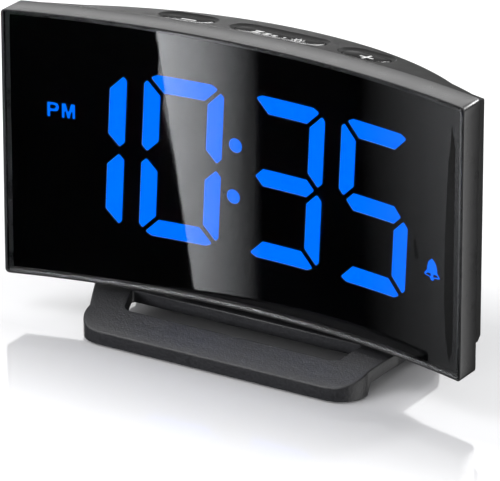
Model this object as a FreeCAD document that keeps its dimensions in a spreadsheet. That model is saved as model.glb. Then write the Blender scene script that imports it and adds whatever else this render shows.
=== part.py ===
"""Curved LED alarm clock on a slotted stand, as a parametric document.

Row frame: +X to the right of someone reading the clock, +Y to the back, +Z up, millimetres.
The origin is the middle of the footprint, on the surface that the clock stands on.
The display is a slab bent about a vertical axis in front of the clock, the bend axis.
"""
import FreeCAD, Part
import Sketcher
import math
import os

from FreeCAD import Placement, Rotation, Vector

DOC = FreeCAD.newDocument("AlarmClock")

# Driving dimensions: alias, millimetres or degrees or a formula of other sizes, and what it is.
SIZES = [
    ("panel_width", 168.0, "display slab, side to side"),
    ("panel_height", 90.0, "display slab, bottom to top"),
    ("panel_lift", 12.2, "slab's lower edge above the table"),
    ("glass_radius", 280.0, "radius of the bent front face"),
    ("frame_depth", 9.2, "front frame, front to back"),
    ("frame_wall", 2.0, "front frame wall"),
    ("skirt_thick", 1.9, "frame's back wall below the rear housing"),
    ("skirt_lap", 1.6, "that wall's lap behind the rear housing's foot"),
    ("frame_corner", 1.5, "rounding of the frame's four long corners"),
    ("rim", 0.7, "frame edge left showing round the lens"),
    ("lens_thick", 1.5, "lens"),
    ("lens_gap", 0.1, "lens to its rebate"),
    ("mask_thick", 0.25, "black print layer behind the lens"),
    ("layer_gap", 0.1, "between stacked display layers"),
    ("reflector_depth", 4.4, "reflector, front to back"),
    ("reflector_side", 7.2, "reflector to the slab's side"),
    ("diffuser_thick", 0.8, "segment diffusers"),
    ("diffuser_gap", 0.08, "diffuser to its window"),
    ("board_thick", 0.8, "display board"),
    ("led_side", 1.6, "light-emitting chips"),
    ("led_high", 0.7, "light-emitting chips"),
    ("digit_height", "=panel_height * 0.6088889", "digits"),
    ("digit_width", 28.4, "digits"),
    ("digit_middle", "=panel_height * 0.5155556", "digit centre line above the slab's lower edge"),
    ("digit_slant", 2.6, "lean of the digits"),
    ("stroke", 5.95, "segment width"),
    ("segment_gap", 1.42, "between segments of a digit"),
    ("corner_cut", 3.6, "length of the cut on a digit's outer corners"),
    ("corner_turn", 1.2, "depth of that cut"),
    ("outline_round", 0.6, "rounding of every segment corner"),
    ("hour_tens_at", -59.05, "digit centre along the arc"),
    ("hour_ones_at", -24.9, "digit centre along the arc"),
    ("minute_tens_at", 12.7, "digit centre along the arc"),
    ("minute_ones_at", 47.3, "digit centre along the arc"),
    ("colon_at", -6.0, "colon along the arc"),
    ("colon_spread", 17.3, "between the two dots"),
    ("colon_size", 4.9, "dot diameter"),
    ("meridiem_at", -71.1, "left edge of the PM letters along the arc"),
    ("meridiem_rise", "=panel_height * 0.6094444", "foot of the PM letters above the slab's lower edge"),
    ("letter_height", 4.9, "PM letters"),
    ("bell_at", 71.8, "bell centre along the arc"),
    ("bell_rise", "=panel_height * 0.3255556", "bell's lowest point above the slab's lower edge"),
    ("bell_height", 7.4, "bell"),
    ("housing_top", 0.8, "rear housing below the slab's top"),
    ("housing_foot", 9.2, "rear housing above the slab's lower edge"),
    ("housing_layer", 3.6, "rear housing's thickness at its two ends"),
    ("housing_side", 0.6, "rear housing inside the slab's width, each side"),
    ("housing_reach", 34.6, "deepest point of the housing behind the glass"),
    ("bulge_radius", 111.0, "plan radius of the housing's back"),
    ("housing_wall", 2.0, "rear housing wall"),
    ("housing_slope", 9.0, "fall of the housing's top towards the back"),
    ("housing_round", 6.0, "rounding of the housing's upper back edge"),
    ("housing_bevel", 1.6, "bevel along the housing's lower edge"),
    ("lining_bevel", 0.8, "bevel inside the housing's lower edge"),
    ("button_ring", 18.5, "button centres behind the glass, at mid-width"),
    ("button_depth", 8.4, "top buttons, front to back"),
    ("snooze_length", 32.0, "snooze button"),
    ("side_length", 17.0, "minus and plus buttons"),
    ("side_turn", 6.25, "side buttons about the bend axis, degrees"),
    ("button_gap", 0.3, "button to its opening, all round"),
    ("button_sink", 0.7, "button face below the housing's top"),
    ("flange_gap", 0.3, "flange below the housing's wall"),
    ("button_flange", 0.9, "retaining flange beyond the cap"),
    ("flange_thick", 0.8, "retaining flange"),
    ("stem_half", 1.6, "half the side of a button's stem"),
    ("stem_long", 2.4, "button stem"),
    ("dish_margin", 1.5, "bevelled dish round each top button"),
    ("travel", 0.6, "press of every button"),
    ("switch_side", 6.0, "tact switch body"),
    ("switch_high", 3.4, "tact switch body"),
    ("plunger_high", 0.9, "tact switch plunger above the body"),
    ("plunger_radius", 1.7, "tact switch plunger"),
    ("plunger_sink", 0.6, "plunger inside its body at rest"),
    ("plunger_gap", 0.05, "plunger to its body, all round"),
    ("contact_gap", 0.05, "button stem to plunger"),
    ("pcb_thick", 1.6, "main board and key board"),
    ("key_strip", 8.0, "key board strip, front to back"),
    ("key_strip_half", 38.0, "key board strip, from mid-width"),
    ("main_width", 84.0, "main board"),
    ("main_height", "=panel_height - 44", "main board"),
    ("main_foot", 33.0, "main board's lower edge above the table"),
    ("main_front", 16.0, "main board's front behind the glass"),
    ("capacitor_radius", 2.4, "board capacitors"),
    ("capacitor_long", 4.2, "board capacitors"),
    ("ribbon_wide", 20.0, "ribbon between the boards"),
    ("ribbon_thick", 0.6, "ribbon between the boards"),
    ("boss_radius", 3.0, "main board bosses"),
    ("boss_spread_x", 74.0, "main board bosses"),
    ("boss_spread_z", "=main_height - 10", "main board bosses"),
    ("screw_radius", 1.0, "small screw shank"),
    ("screw_head", 1.9, "small screw head radius"),
    ("screw_head_thick", 1.2, "small screw head"),
    ("screw_gap", 0.05, "screw to its hole"),
    ("corner_boss_inset", 4.6, "housing screws to the slab's side"),
    ("corner_boss_radius", 2.2, "frame bosses for the housing screws"),
    ("corner_low", 19.0, "lower housing screws above the slab's lower edge"),
    ("corner_high", "=panel_height - 11", "upper housing screws above the slab's lower edge"),
    ("rear_key_at", 27.0, "rear buttons to mid-width"),
    ("rear_key_high", "=panel_lift + panel_height * 0.5977778", "rear buttons above the table"),
    ("rear_key_radius", 3.4, "rear button"),
    ("door_radius", 13.4, "battery door"),
    ("door_thick", 1.3, "battery door"),
    ("door_gap", 0.2, "battery door to its recess"),
    ("door_high", "=panel_lift + panel_height * 0.4644444", "battery door's centre above the table"),
    ("door_back", 33.75, "battery door's outer face behind the glass"),
    ("ledge_thick", 2.2, "ledge that the battery door seats on"),
    ("throat_radius", 11.4, "opening through that ledge"),
    ("door_lug", 1.0, "bayonet lug thickness"),
    ("door_turn", 40.0, "battery door's turn, degrees"),
    ("coin_slot_long", 14.0, "coin slot across the battery door"),
    ("coin_slot_wide", 2.0, "coin slot across the battery door"),
    ("cell_radius", 10.0, "coin cell"),
    ("cell_thick", 3.2, "coin cell"),
    ("socket_at", -29.0, "power socket along X"),
    ("socket_high", 40.0, "power socket's centre above the table"),
    ("socket_wide", 9.0, "power socket body"),
    ("socket_deep", 8.5, "power socket body, front to back"),
    ("socket_tall", 10.5, "power socket body"),
    ("socket_pin", 0.95, "power socket's centre pin radius"),
    ("socket_bore", 2.9, "power socket bore radius"),
    ("socket_nose", 4.0, "power socket nose radius"),
    ("buzzer_at", 28.0, "buzzer along X"),
    ("buzzer_high", 42.0, "buzzer's centre above the table"),
    ("buzzer_radius", 6.0, "buzzer"),
    ("buzzer_deep", 5.5, "buzzer, front to back"),
    ("sound_radius", 0.8, "sound holes"),
    ("sound_ring", 3.6, "ring that the sound holes stand on"),
    ("stand_width", 102.8, "stand at its front"),
    ("left_flare", 6.4, "stand wider at the back, on the reader's left"),
    ("right_flare", 3.0, "stand wider at the back, on the reader's right"),
    ("stand_reach", 23.4, "stand's front face ahead of the glass"),
    ("stand_tail", 33.0, "stand's back face behind the glass"),
    ("stand_corner", 9.2, "plan rounding of the stand's corners"),
    ("stand_lip", 4.8, "height of the stand's front edge"),
    ("stand_crest", 10.7, "height of the stand's plate at its middle"),
    ("plate_thick", 4.5, "stand plate"),
    ("foot_depth", 10.2, "front foot of the stand, front to back"),
    ("pad_stand_off", 0.4, "rubber feet below the stand"),
    ("pad_sink", 1.0, "rubber feet into the stand"),
    ("pad_length", 16.0, "rubber feet"),
    ("pad_depth", 6.0, "rubber feet"),
    ("slot_front", 11.6, "slot's front edge ahead of the glass"),
    ("slot_depth", 11.6, "slot, front to back"),
    ("slot_width", 78.8, "slot at its front"),
    ("slot_left_flare", 4.4, "slot wider at the back, on the reader's left"),
    ("slot_right_flare", 2.4, "slot wider at the back, on the reader's right"),
    ("neck_width", 68.0, "neck between stand and housing"),
    ("neck_front", 9.9, "neck's front face behind the glass"),
    ("neck_depth", 13.6, "neck, front to back"),
    ("neck_boss_high", 8.5, "bosses for the stand screws above the housing's foot"),
    ("stand_screw_at", 24.0, "stand screws to mid-width"),
    ("stand_screw_radius", 1.5, "stand screw shank"),
    ("stand_head_radius", 2.8, "stand screw head"),
]

SHEET = DOC.addObject("Spreadsheet::Sheet", "Sizes")
for line, (alias, number, note) in enumerate(SIZES, start=1):
    SHEET.set("A%d" % line, alias)
    SHEET.set("B%d" % line, str(number))
    SHEET.setAlias("B%d" % line, alias)
    SHEET.set("C%d" % line, note)
DOC.recompute()

NODES = []

# Places that several sub-parts share, as expressions on the sheet.
GLASS_Y = "(Sizes.stand_reach - Sizes.housing_reach) / 2"
AXIS_Y = "(" + GLASS_Y + " - Sizes.glass_radius)"
SLAB_TOP = "(Sizes.panel_lift + Sizes.panel_height)"
FRAME_BACK = "(Sizes.glass_radius + Sizes.frame_depth)"
LENS_BACK = "(Sizes.glass_radius + Sizes.lens_thick)"
MASK_BACK = "(" + LENS_BACK + " + Sizes.mask_thick)"
REFLECTOR_FRONT = "(" + MASK_BACK + " + Sizes.layer_gap)"
REFLECTOR_BACK = "(" + REFLECTOR_FRONT + " + Sizes.reflector_depth)"
BOARD_FRONT = "(" + REFLECTOR_BACK + " + Sizes.layer_gap)"
BOARD_BACK = "(" + BOARD_FRONT + " + Sizes.board_thick)"
HOUSING_LOW = "(Sizes.panel_lift + Sizes.housing_foot)"
HOUSING_HIGH = "(" + SLAB_TOP + " - Sizes.housing_top)"


def value(text):
    """Return the number that an expression on the sheet gives."""
    return float(SHEET.evalExpression(str(text)))


def node(item, label):
    """Name a finished sub-part and keep it for export."""
    item.Label = label
    NODES.append(item)
    return item


def bind(item, **properties):
    """Tie properties of an object to expressions on the sheet."""
    for name, text in properties.items():
        item.setExpression(name, str(text))
    return item


def place(item, x="0", y="0", z="0", rotation=None):
    """Tie an object's position to the sheet, after giving it a fixed rotation."""
    if rotation is not None:
        item.Placement = Placement(Vector(), rotation)
    for axis, text in zip("xyz", (x, y, z)):
        item.setExpression(".Placement.Base." + axis, str(text))
    return item


def box(name, size, corner):
    """Add a box from expressions for its three sizes and its lowest corner."""
    item = DOC.addObject("Part::Box", name)
    bind(item, Length=size[0], Width=size[1], Height=size[2])
    return place(item, *corner)


def cylinder(name, radius, height, base, rotation=None):
    """Add a cylinder from expressions; it stands along +Z unless it is rotated."""
    item = DOC.addObject("Part::Cylinder", name)
    bind(item, Radius=radius, Height=height)
    return place(item, *base, rotation=rotation)


BACKWARDS = Rotation(Vector(1, 0, 0), -90)


def rod(name, radius, length, start):
    """Add a cylinder that runs from its start towards the back, along +Y."""
    return cylinder(name, radius, length, start, BACKWARDS)


def cut(name, base, tools):
    """Subtract a list of tools from a base."""
    item = DOC.addObject("Part::Cut", name)
    item.Base = base
    item.Tool = join(name + "_tools", tools) if len(tools) > 1 else tools[0]
    return item


def join(name, pieces):
    """Fuse pieces into one."""
    item = DOC.addObject("Part::MultiFuse", name)
    item.Shapes = pieces
    return item


def overlap(name, pieces):
    """Keep what all pieces have in common."""
    item = DOC.addObject("Part::MultiCommon", name)
    item.Shapes = pieces
    return item


def group(name, pieces):
    """Keep separate solids together as one sub-part."""
    item = DOC.addObject("Part::Compound", name)
    item.Links = pieces
    return item


def solid(name, shape):
    """Add a shape that was worked out in code."""
    item = DOC.addObject("Part::Feature", name)
    item.Shape = shape
    return item


def arc_slab(name, inner, outer, width, low, high):
    """Add a bent slab between two radii about the bend axis, from one height to another."""
    height = "(%s) - (%s)" % (high, low)
    outside = cylinder(name + "_outer", outer, height, ("0", AXIS_Y, low))
    inside = cylinder(name + "_inner", inner, height, ("0", AXIS_Y, low))
    ring = cut(name + "_ring", outside, [inside])
    window = box(name + "_span", (width, outer, height), ("-(%s) / 2" % width, AXIS_Y, low))
    return overlap(name, [ring, window])


def plane_of(body, role):
    """Return one of a body's own origin planes."""
    return next(item for item in body.Origin.OriginFeatures if item.Role == role)


def outline_sketch(body, name, role, points):
    """Draw a closed outline whose corners are tied to expressions on the sheet."""
    sketch = body.newObject("Sketcher::SketchObject", name)
    sketch.AttachmentSupport = (plane_of(body, role), [""])
    sketch.MapMode = "FlatFace"
    corners = [(value(x), value(y)) for x, y in points]
    count = len(points)
    for index in range(count):
        start = Vector(*corners[index], 0)
        end = Vector(*corners[(index + 1) % count], 0)
        sketch.addGeometry(Part.LineSegment(start, end))
    for index in range(count):
        sketch.addConstraint(Sketcher.Constraint("Coincident", index, 2, (index + 1) % count, 1))
    for index, texts in enumerate(points):
        for kind, axis, number, text in zip(("DistanceX", "DistanceY"), (-2, -1), corners[index], texts):
            if abs(number) < 1e-9:
                sketch.addConstraint(Sketcher.Constraint("PointOnObject", index, 1, axis))
            else:
                tie = sketch.addConstraint(Sketcher.Constraint(kind, -1, 1, index, 1, number))
                sketch.setExpression("Constraints[%d]" % tie, str(text))
    return sketch


def rectangle(x_low, x_high, y_low, y_high):
    """Return the corners of a rectangle for outline_sketch."""
    return [(x_low, y_low), (x_high, y_low), (x_high, y_high), (x_low, y_high)]


def pad(body, name, sketch, length, side="One side"):
    """Pad a sketch by an expression."""
    feature = body.newObject("PartDesign::Pad", name)
    feature.Profile = sketch
    feature.SideType = side
    bind(feature, Length=length)
    return feature


def pocket(body, name, sketch, length, side="Symmetric"):
    """Pocket a sketch by an expression, both ways unless told otherwise."""
    feature = body.newObject("PartDesign::Pocket", name)
    feature.Profile = sketch
    feature.SideType = side
    bind(feature, Length=length)
    return feature


def new_body(label):
    """Start a PartDesign body that is a node of its own."""
    body = DOC.addObject("PartDesign::Body", label)
    return node(body, label)


# ---------------------------------------------------------------- outlines on the bent display

def rounded_face(points, radius):
    """Return a face in the XZ plane whose outline has arcs of one radius at its corners."""
    corners = [Vector(x, 0, z) for x, z in points]
    joints = []
    for index, corner in enumerate(corners):
        back = corners[index - 1].sub(corner)
        ahead = corners[(index + 1) % len(corners)].sub(corner)
        half = back.getAngle(ahead) / 2
        reach = min(radius / math.tan(half), 0.45 * back.Length, 0.45 * ahead.Length)
        first = corner + back.normalize() * reach
        last = corner + ahead.normalize() * reach
        turn = reach * math.tan(half)
        inward = (first + last - corner * 2).normalize()
        middle = corner + inward * (reach / math.cos(half) - turn)
        joints.append((first, middle, last))
    edges = []
    for index, (first, middle, last) in enumerate(joints):
        edges.append(Part.Arc(first, middle, last).toShape())
        following = joints[(index + 1) % len(joints)][0]
        edges.append(Part.LineSegment(last, following).toShape())
    return Part.Face(Part.Wire(edges))


def on_glass(arc_place, rise):
    """Turn a place along the bent glass and a rise above the slab's foot into X and Z."""
    radius = value("Sizes.glass_radius")
    return radius * math.sin(arc_place / radius), value("Sizes.panel_lift") + rise


def digit_segments(centre):
    """Return the seven segment outlines of a digit, by the usual letters a to g."""
    half_width = value("Sizes.digit_width / 2")
    half_height = value("Sizes.digit_height / 2")
    stroke = value("Sizes.stroke")
    ease = value("Sizes.segment_gap") * math.sqrt(0.5)
    cut_long = value("Sizes.corner_cut")
    cut_deep = value("Sizes.corner_turn")
    tip_in = 1.9 / 5.95 * stroke
    tip_off = ease + 0.1
    middle = value("Sizes.digit_middle")
    lean = math.tan(math.radians(value("Sizes.digit_slant")))
    upright = [
        (0, tip_off + tip_in),
        (tip_in, tip_off),
        (stroke, tip_off + stroke - tip_in),
        (stroke, half_height - stroke - ease),
        (cut_deep, half_height - cut_deep - ease),
        (0, half_height - cut_long),
    ]
    level = [
        (cut_long + ease, 0),
        (cut_deep + ease, cut_deep),
        (stroke + ease, stroke),
    ]
    level += [(2 * half_width - x, depth) for x, depth in reversed(level)]
    notch = tip_in + ease + 0.1
    bar = [(notch, 0), (notch + stroke / 2, stroke / 2)]
    bar += [(2 * half_width - x, rise) for x, rise in reversed(bar)]
    bar += [(x, -rise) for x, rise in reversed(bar[1:-1])]
    local = {
        "a": [(x - half_width, half_height - depth) for x, depth in level],
        "d": [(x - half_width, depth - half_height) for x, depth in level],
        "f": [(x - half_width, rise) for x, rise in upright],
        "e": [(x - half_width, -rise) for x, rise in upright],
        "b": [(half_width - x, rise) for x, rise in upright],
        "c": [(half_width - x, -rise) for x, rise in upright],
        "g": [(x - half_width, rise) for x, rise in bar],
    }
    faces = {}
    for letter, points in local.items():
        placed = [on_glass(centre + x + lean * rise, middle + rise) for x, rise in points]
        faces[letter] = rounded_face(placed, value("Sizes.outline_round"))
    return faces


def colon_dots():
    """Return the outlines of the two colon dots."""
    lean = math.tan(math.radians(value("Sizes.digit_slant")))
    dots = []
    for way in (-0.5, 0.5):
        rise = way * value("Sizes.colon_spread")
        x, z = on_glass(value("Sizes.colon_at") + lean * rise, value("Sizes.digit_middle") + rise)
        rim = Part.Circle(Vector(x, 0, z), Vector(0, 1, 0), value("Sizes.colon_size / 2"))
        dots.append(Part.Face(Part.Wire(rim.toShape())))
    return dots


LETTER_GRID = 5.0
LETTER_P = [(0, 0), (0, 5), (2.7, 5), (3.7, 4.6), (4.1, 3.5), (3.7, 2.3), (2.7, 1.9), (1.05, 1.9), (1.05, 0)]
LETTER_P_EYE = [(1.05, 2.8), (1.05, 4.1), (2.5, 4.1), (3.05, 3.5), (2.5, 2.8)]
LETTER_M = [
    (5.0, 0), (5.0, 5), (6.4, 5), (7.3, 1.8), (8.2, 5), (9.6, 5), (9.6, 0),
    (8.65, 0), (8.65, 3.7), (7.7, 0), (6.9, 0), (5.95, 3.7), (5.95, 0),
]
BELL_GRID = 7.4
BELL_BODY = [
    (0, 7.4), (0.8, 6.8), (1.7, 5.9), (2.1, 4.6), (2.3, 3.1), (3.45, 1.7), (3.1, 1.3), (1.0, 1.0),
    (0.55, 0.1), (-0.55, 0.1), (-1.0, 1.0), (-3.1, 1.3), (-3.45, 1.7), (-2.3, 3.1), (-2.1, 4.6),
    (-1.7, 5.9), (-0.8, 6.8),
]
BELL_EYE = [(0.55, 1.35), (0.75, 2.25), (1.9, 2.2), (2.7, 1.75)]


def small_sign(points, arc_place, rise, factor, round_by=0.2):
    """Return a letter's or a sign's outline on the bent glass."""
    placed = [on_glass(arc_place + factor * x, rise + factor * z) for x, z in points]
    return rounded_face(placed, round_by)


def letters():
    """Return the outlines of the letters P, less its eye, and M."""
    factor = value("Sizes.letter_height") / LETTER_GRID
    home = (value("Sizes.meridiem_at"), value("Sizes.meridiem_rise"), factor)
    return [small_sign(LETTER_P, *home).cut(small_sign(LETTER_P_EYE, *home)), small_sign(LETTER_M, *home)]


def bell():
    """Return the outline of the bell, less the two eyes in its rim."""
    factor = value("Sizes.bell_height") / BELL_GRID
    home = (value("Sizes.bell_at"), value("Sizes.bell_rise"), factor)
    shape = small_sign(BELL_BODY, *home)
    for way in (-1, 1):
        shape = shape.cut(small_sign([(way * x, z) for x, z in BELL_EYE], *home, round_by=0.12))
    return [shape]


def sign_plate(points, arc_place, rise, factor, margin):
    """Return a plain rectangle that covers a sign with a margin."""
    across = [arc_place + factor * x for x, z in points]
    upward = [rise + factor * z for x, z in points]
    low_x, high_x = min(across) - margin, max(across) + margin
    low_z, high_z = min(upward) - margin, max(upward) + margin
    corners = [(low_x, low_z), (high_x, low_z), (high_x, high_z), (low_x, high_z)]
    return rounded_face([on_glass(x, z) for x, z in corners], 0.4)


def bent(faces, inner, outer):
    """Extrude outlines through the display and keep the bent layer between two radii."""
    inner, outer = value(inner), value(outer)
    base = Vector(0, value(AXIS_Y), 0)
    height = value(SLAB_TOP)
    shell = Part.makeCylinder(outer, height, base).cut(Part.makeCylinder(inner, height, base))
    start = value(GLASS_Y) - value("Sizes.panel_width / 5")
    run = Vector(0, value("Sizes.panel_width / 2"), 0)
    pieces = []
    for face in faces:
        shifted = face.translated(Vector(0, start, 0))
        pieces += shifted.extrude(run).common(shell).Solids
    return pieces


DIGITS = {
    "hour_tens": ("Sizes.hour_tens_at", "abcdeg", "bc"),
    "hour_ones": ("Sizes.hour_ones_at", "abcdefg", "abcdef"),
    "minute_tens": ("Sizes.minute_tens_at", "abcdefg", "abcdg"),
    "minute_ones": ("Sizes.minute_ones_at", "abcdefg", "acdfg"),
}


def display_outlines():
    """Return lit and idle outlines: digit segments, colon, letters and bell."""
    lit = {}
    idle = []
    for name, (where, fitted, shown) in DIGITS.items():
        faces = digit_segments(value(where))
        lit[name] = [faces[letter] for letter in fitted if letter in shown]
        idle += [faces[letter] for letter in fitted if letter not in shown]
    lit["colon"] = colon_dots()
    return lit, idle


def shrink(faces, by):
    """Return outlines set in by a clearance."""
    return [face.makeOffset2D(-by) for face in faces]


# ---------------------------------------------------------------- display sub-parts

def make_front_frame():
    """Bent hoop with a rebate for the lens and four corner bosses for the housing's screws."""
    whole = arc_slab("frame_block", "Sizes.glass_radius", FRAME_BACK, "Sizes.panel_width",
                     "Sizes.panel_lift", SLAB_TOP)
    DOC.recompute()
    rounded = DOC.addObject("Part::Fillet", "frame_rounded")
    rounded.Base = whole
    half = value("Sizes.panel_width / 2")
    long_edges = []
    for index, edge in enumerate(whole.Shape.Edges, start=1):
        span = edge.BoundBox
        if span.XLength < 1e-3 and span.ZLength < 1e-3 and abs(abs(span.XMin) - half) < 1e-3:
            long_edges.append((index, value("Sizes.frame_corner"), value("Sizes.frame_corner")))
    rounded.Edges = long_edges
    wall = "Sizes.frame_wall"
    cavity = arc_slab("frame_cavity", "Sizes.glass_radius - 1", FRAME_BACK + " + 1",
                      "Sizes.panel_width - 2 * " + wall,
                      "Sizes.panel_lift + " + wall, SLAB_TOP + " - " + wall)
    seat = arc_slab("frame_seat", "Sizes.glass_radius - 1", LENS_BACK,
                    "Sizes.panel_width - 2 * Sizes.rim",
                    "Sizes.panel_lift + Sizes.rim", SLAB_TOP + " - Sizes.rim")
    skirt = arc_slab("frame_skirt", FRAME_BACK + " - Sizes.skirt_thick", FRAME_BACK,
                     "Sizes.panel_width - " + wall, "Sizes.panel_lift + " + wall + " / 2",
                     HOUSING_LOW + " + Sizes.skirt_lap")
    hoop = join("frame_hoop", [cut("frame_open", rounded, [cavity, seat]), skirt])
    bosses = []
    holes = []
    for side in (-1, 1):
        for rise in ("Sizes.corner_low", "Sizes.corner_high"):
            tag = "%s_%s" % ("left" if side < 0 else "right", rise[-3:])
            across = "%d * (Sizes.panel_width / 2 - Sizes.corner_boss_inset)" % side
            high = "Sizes.panel_lift + " + rise
            start = corner_back(-8.0)
            bosses.append(rod("boss_" + tag, "Sizes.corner_boss_radius", "20", (across, start, high)))
            bosses.append(box("web_" + tag, ("Sizes.corner_boss_inset - Sizes.frame_wall / 2", "20", "2"),
                              (across if side > 0 else across + " - Sizes.corner_boss_inset"
                               " + Sizes.frame_wall / 2", start, high + " - 1")))
            holes.append(rod("pilot_" + tag, "Sizes.screw_radius + Sizes.screw_gap", "20",
                             (across, corner_back(-6.5), high)))
    band = arc_slab("boss_band", LENS_BACK + " + Sizes.mask_thick", FRAME_BACK, "Sizes.panel_width - 2",
                    "Sizes.panel_lift + 1", SLAB_TOP + " - 1")
    kept = overlap("boss_kept", [join("boss_all", bosses), band])
    node(cut("front_frame_solid", join("frame_with_bosses", [hoop, kept]), holes), "front_frame")


def corner_back(offset):
    """Return the Y where the frame's back face passes the corner screws, plus an offset."""
    across = value("Sizes.panel_width / 2 - Sizes.corner_boss_inset")
    reach = math.sqrt(value(FRAME_BACK) ** 2 - across ** 2)
    return "%s + %.6f + (%s)" % (AXIS_Y, reach, offset)


def make_lens():
    """Bent smoked lens that covers the whole front, inside the rim."""
    trim = "(Sizes.rim + Sizes.lens_gap)"
    node(arc_slab("lens_solid", "Sizes.glass_radius + 0.05", LENS_BACK, "Sizes.panel_width - 2 * " + trim,
                  "Sizes.panel_lift + " + trim, SLAB_TOP + " - " + trim), "lens_panel")


def make_mask(lit):
    """Black print behind the lens, open where something is lit."""
    trim = "(Sizes.frame_wall + Sizes.lens_gap)"
    layer = arc_slab("mask_layer", LENS_BACK, MASK_BACK, "Sizes.panel_width - 2 * " + trim,
                     "Sizes.panel_lift + " + trim, SLAB_TOP + " - " + trim)
    DOC.recompute()
    openings = []
    for faces in lit.values():
        openings += bent(faces, LENS_BACK + " - 1", MASK_BACK + " + 1")
    openings += bent(letters() + bell(), LENS_BACK + " - 1", MASK_BACK + " + 1")
    node(solid("mask_solid", layer.Shape.cut(openings)), "lens_mask")


def sign_plates():
    """Return the plain light plates behind the letters and the bell."""
    factor = value("Sizes.letter_height") / LETTER_GRID
    letters = (value("Sizes.meridiem_at"), value("Sizes.meridiem_rise"))
    plates = [sign_plate(LETTER_P + LETTER_M, *letters, factor, 0.6)]
    factor = value("Sizes.bell_height") / BELL_GRID
    plates.append(sign_plate(BELL_BODY, value("Sizes.bell_at"), value("Sizes.bell_rise"), factor, 0.6))
    return plates


def make_diffusers(lit, idle):
    """Thin light plates at the front of the reflector's windows."""
    back = REFLECTOR_FRONT + " + Sizes.diffuser_thick"
    gap = value("Sizes.diffuser_gap")
    for name, faces in lit.items():
        pieces = bent(shrink(faces, gap), REFLECTOR_FRONT, back)
        node(solid(name + "_plates", Part.makeCompound(pieces)), name + "_diffusers")
    unlit = bent(shrink(idle, gap), REFLECTOR_FRONT, back)
    node(solid("idle_plates", Part.makeCompound(unlit)), "idle_diffusers")
    for name, face in zip(("meridiem", "bell"), sign_plates()):
        pieces = bent(shrink([face], gap), REFLECTOR_FRONT, back)
        node(solid(name + "_plate", Part.makeCompound(pieces)), name + "_diffuser")


def make_reflector(lit, idle):
    """Bent light box with a window through it for each segment and sign."""
    side = "2 * Sizes.reflector_side"
    trim = "(Sizes.frame_wall + 2 * Sizes.lens_gap)"
    block = arc_slab("reflector_block", REFLECTOR_FRONT, REFLECTOR_BACK, "Sizes.panel_width - " + side,
                     "Sizes.panel_lift + " + trim, SLAB_TOP + " - " + trim)
    DOC.recompute()
    windows = []
    for faces in list(lit.values()) + [idle, sign_plates()]:
        windows += bent(faces, REFLECTOR_FRONT + " - 1", REFLECTOR_BACK + " + 1")
    node(solid("reflector_solid", block.Shape.cut(windows)), "display_reflector")


def make_display_board(lit, idle):
    """Thin bent board behind the reflector, and the light-emitting chips on its front."""
    trim = "(Sizes.frame_wall + 2 * Sizes.lens_gap)"
    node(arc_slab("display_board_solid", BOARD_FRONT, BOARD_BACK,
                  "Sizes.panel_width - 2 * Sizes.reflector_side",
                  "Sizes.panel_lift + " + trim, SLAB_TOP + " - " + trim), "display_board")
    chip_side = value("Sizes.led_side")
    chip_high = value("Sizes.led_high")
    chips = []
    for faces in list(lit.values()) + [idle, sign_plates()]:
        for face in faces:
            centre = face.CenterOfMass
            angle = math.asin(centre.x / value("Sizes.glass_radius"))
            span = face.BoundBox
            tall = span.ZLength > span.XLength
            reach = max(span.XLength, span.ZLength)
            for way in ((-0.22, 0.22) if reach > value("Sizes.digit_width / 3") else (0,)):
                chip = Part.makeBox(chip_side, chip_high, chip_side, Vector(-chip_side / 2, 0, -chip_side / 2))
                turn = angle if tall else angle + way * reach / value("Sizes.glass_radius")
                high = centre.z + (way * reach if tall else 0)
                spot = value(BOARD_FRONT) - chip_high - 0.05
                chip.translate(Vector(0, spot, high))
                chip.rotate(Vector(), Vector(0, 0, 1), -math.degrees(turn))
                chip.translate(Vector(0, value(AXIS_Y), 0))
                chips.append(chip)
    node(solid("chips_solid", Part.makeCompound(chips)), "led_chips")


# ---------------------------------------------------------------- rear housing

BUTTONS = {
    "minus_button": (-1, "Sizes.side_length"),
    "snooze_button": (0, "Sizes.snooze_length"),
    "plus_button": (1, "Sizes.side_length"),
}


def button_place(side, below=0.0):
    """Return the placement of a top button: its face's plane, turned about the bend axis."""
    ring = value("Sizes.glass_radius + Sizes.button_ring")
    slope = value("Sizes.housing_slope")
    fall = (ring - value(FRAME_BACK)) * math.tan(math.radians(slope))
    tilt = Rotation(Vector(1, 0, 0), -slope)
    drop = tilt.multVec(Vector(0, 0, -below))
    spot = Vector(0, ring, value(HOUSING_HIGH) - fall) + drop
    turn = Rotation(Vector(0, 0, 1), -side * value("Sizes.side_turn"))
    return Placement(Vector(0, value(AXIS_Y), 0), turn).multiply(Placement(spot, tilt))


def pill(length, depth, height, low=0.0):
    """Return an upright pill-shaped block centred on the origin."""
    radius = depth / 2
    straight = max(length - depth, 0.01)
    block = Part.makeBox(straight, depth, height, Vector(-straight / 2, -radius, low))
    for way in (-0.5, 0.5):
        block = block.fuse(Part.makeCylinder(radius, height, Vector(way * straight, 0, low)))
    return block.removeSplitter()


def dish(length, depth, sink, margin):
    """Return the bevelled cut round a button: a pill at the bottom, wider at the top."""
    lower = pill_wire(length, depth, -sink)
    upper = pill_wire(length + 2 * margin, depth + 2 * margin, 0.05)
    beyond = pill_wire(length + 2 * margin, depth + 2 * margin, 6.0)
    bevel = Part.makeLoft([lower, upper], True)
    return bevel.fuse(Part.makeLoft([upper, beyond], True))


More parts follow.
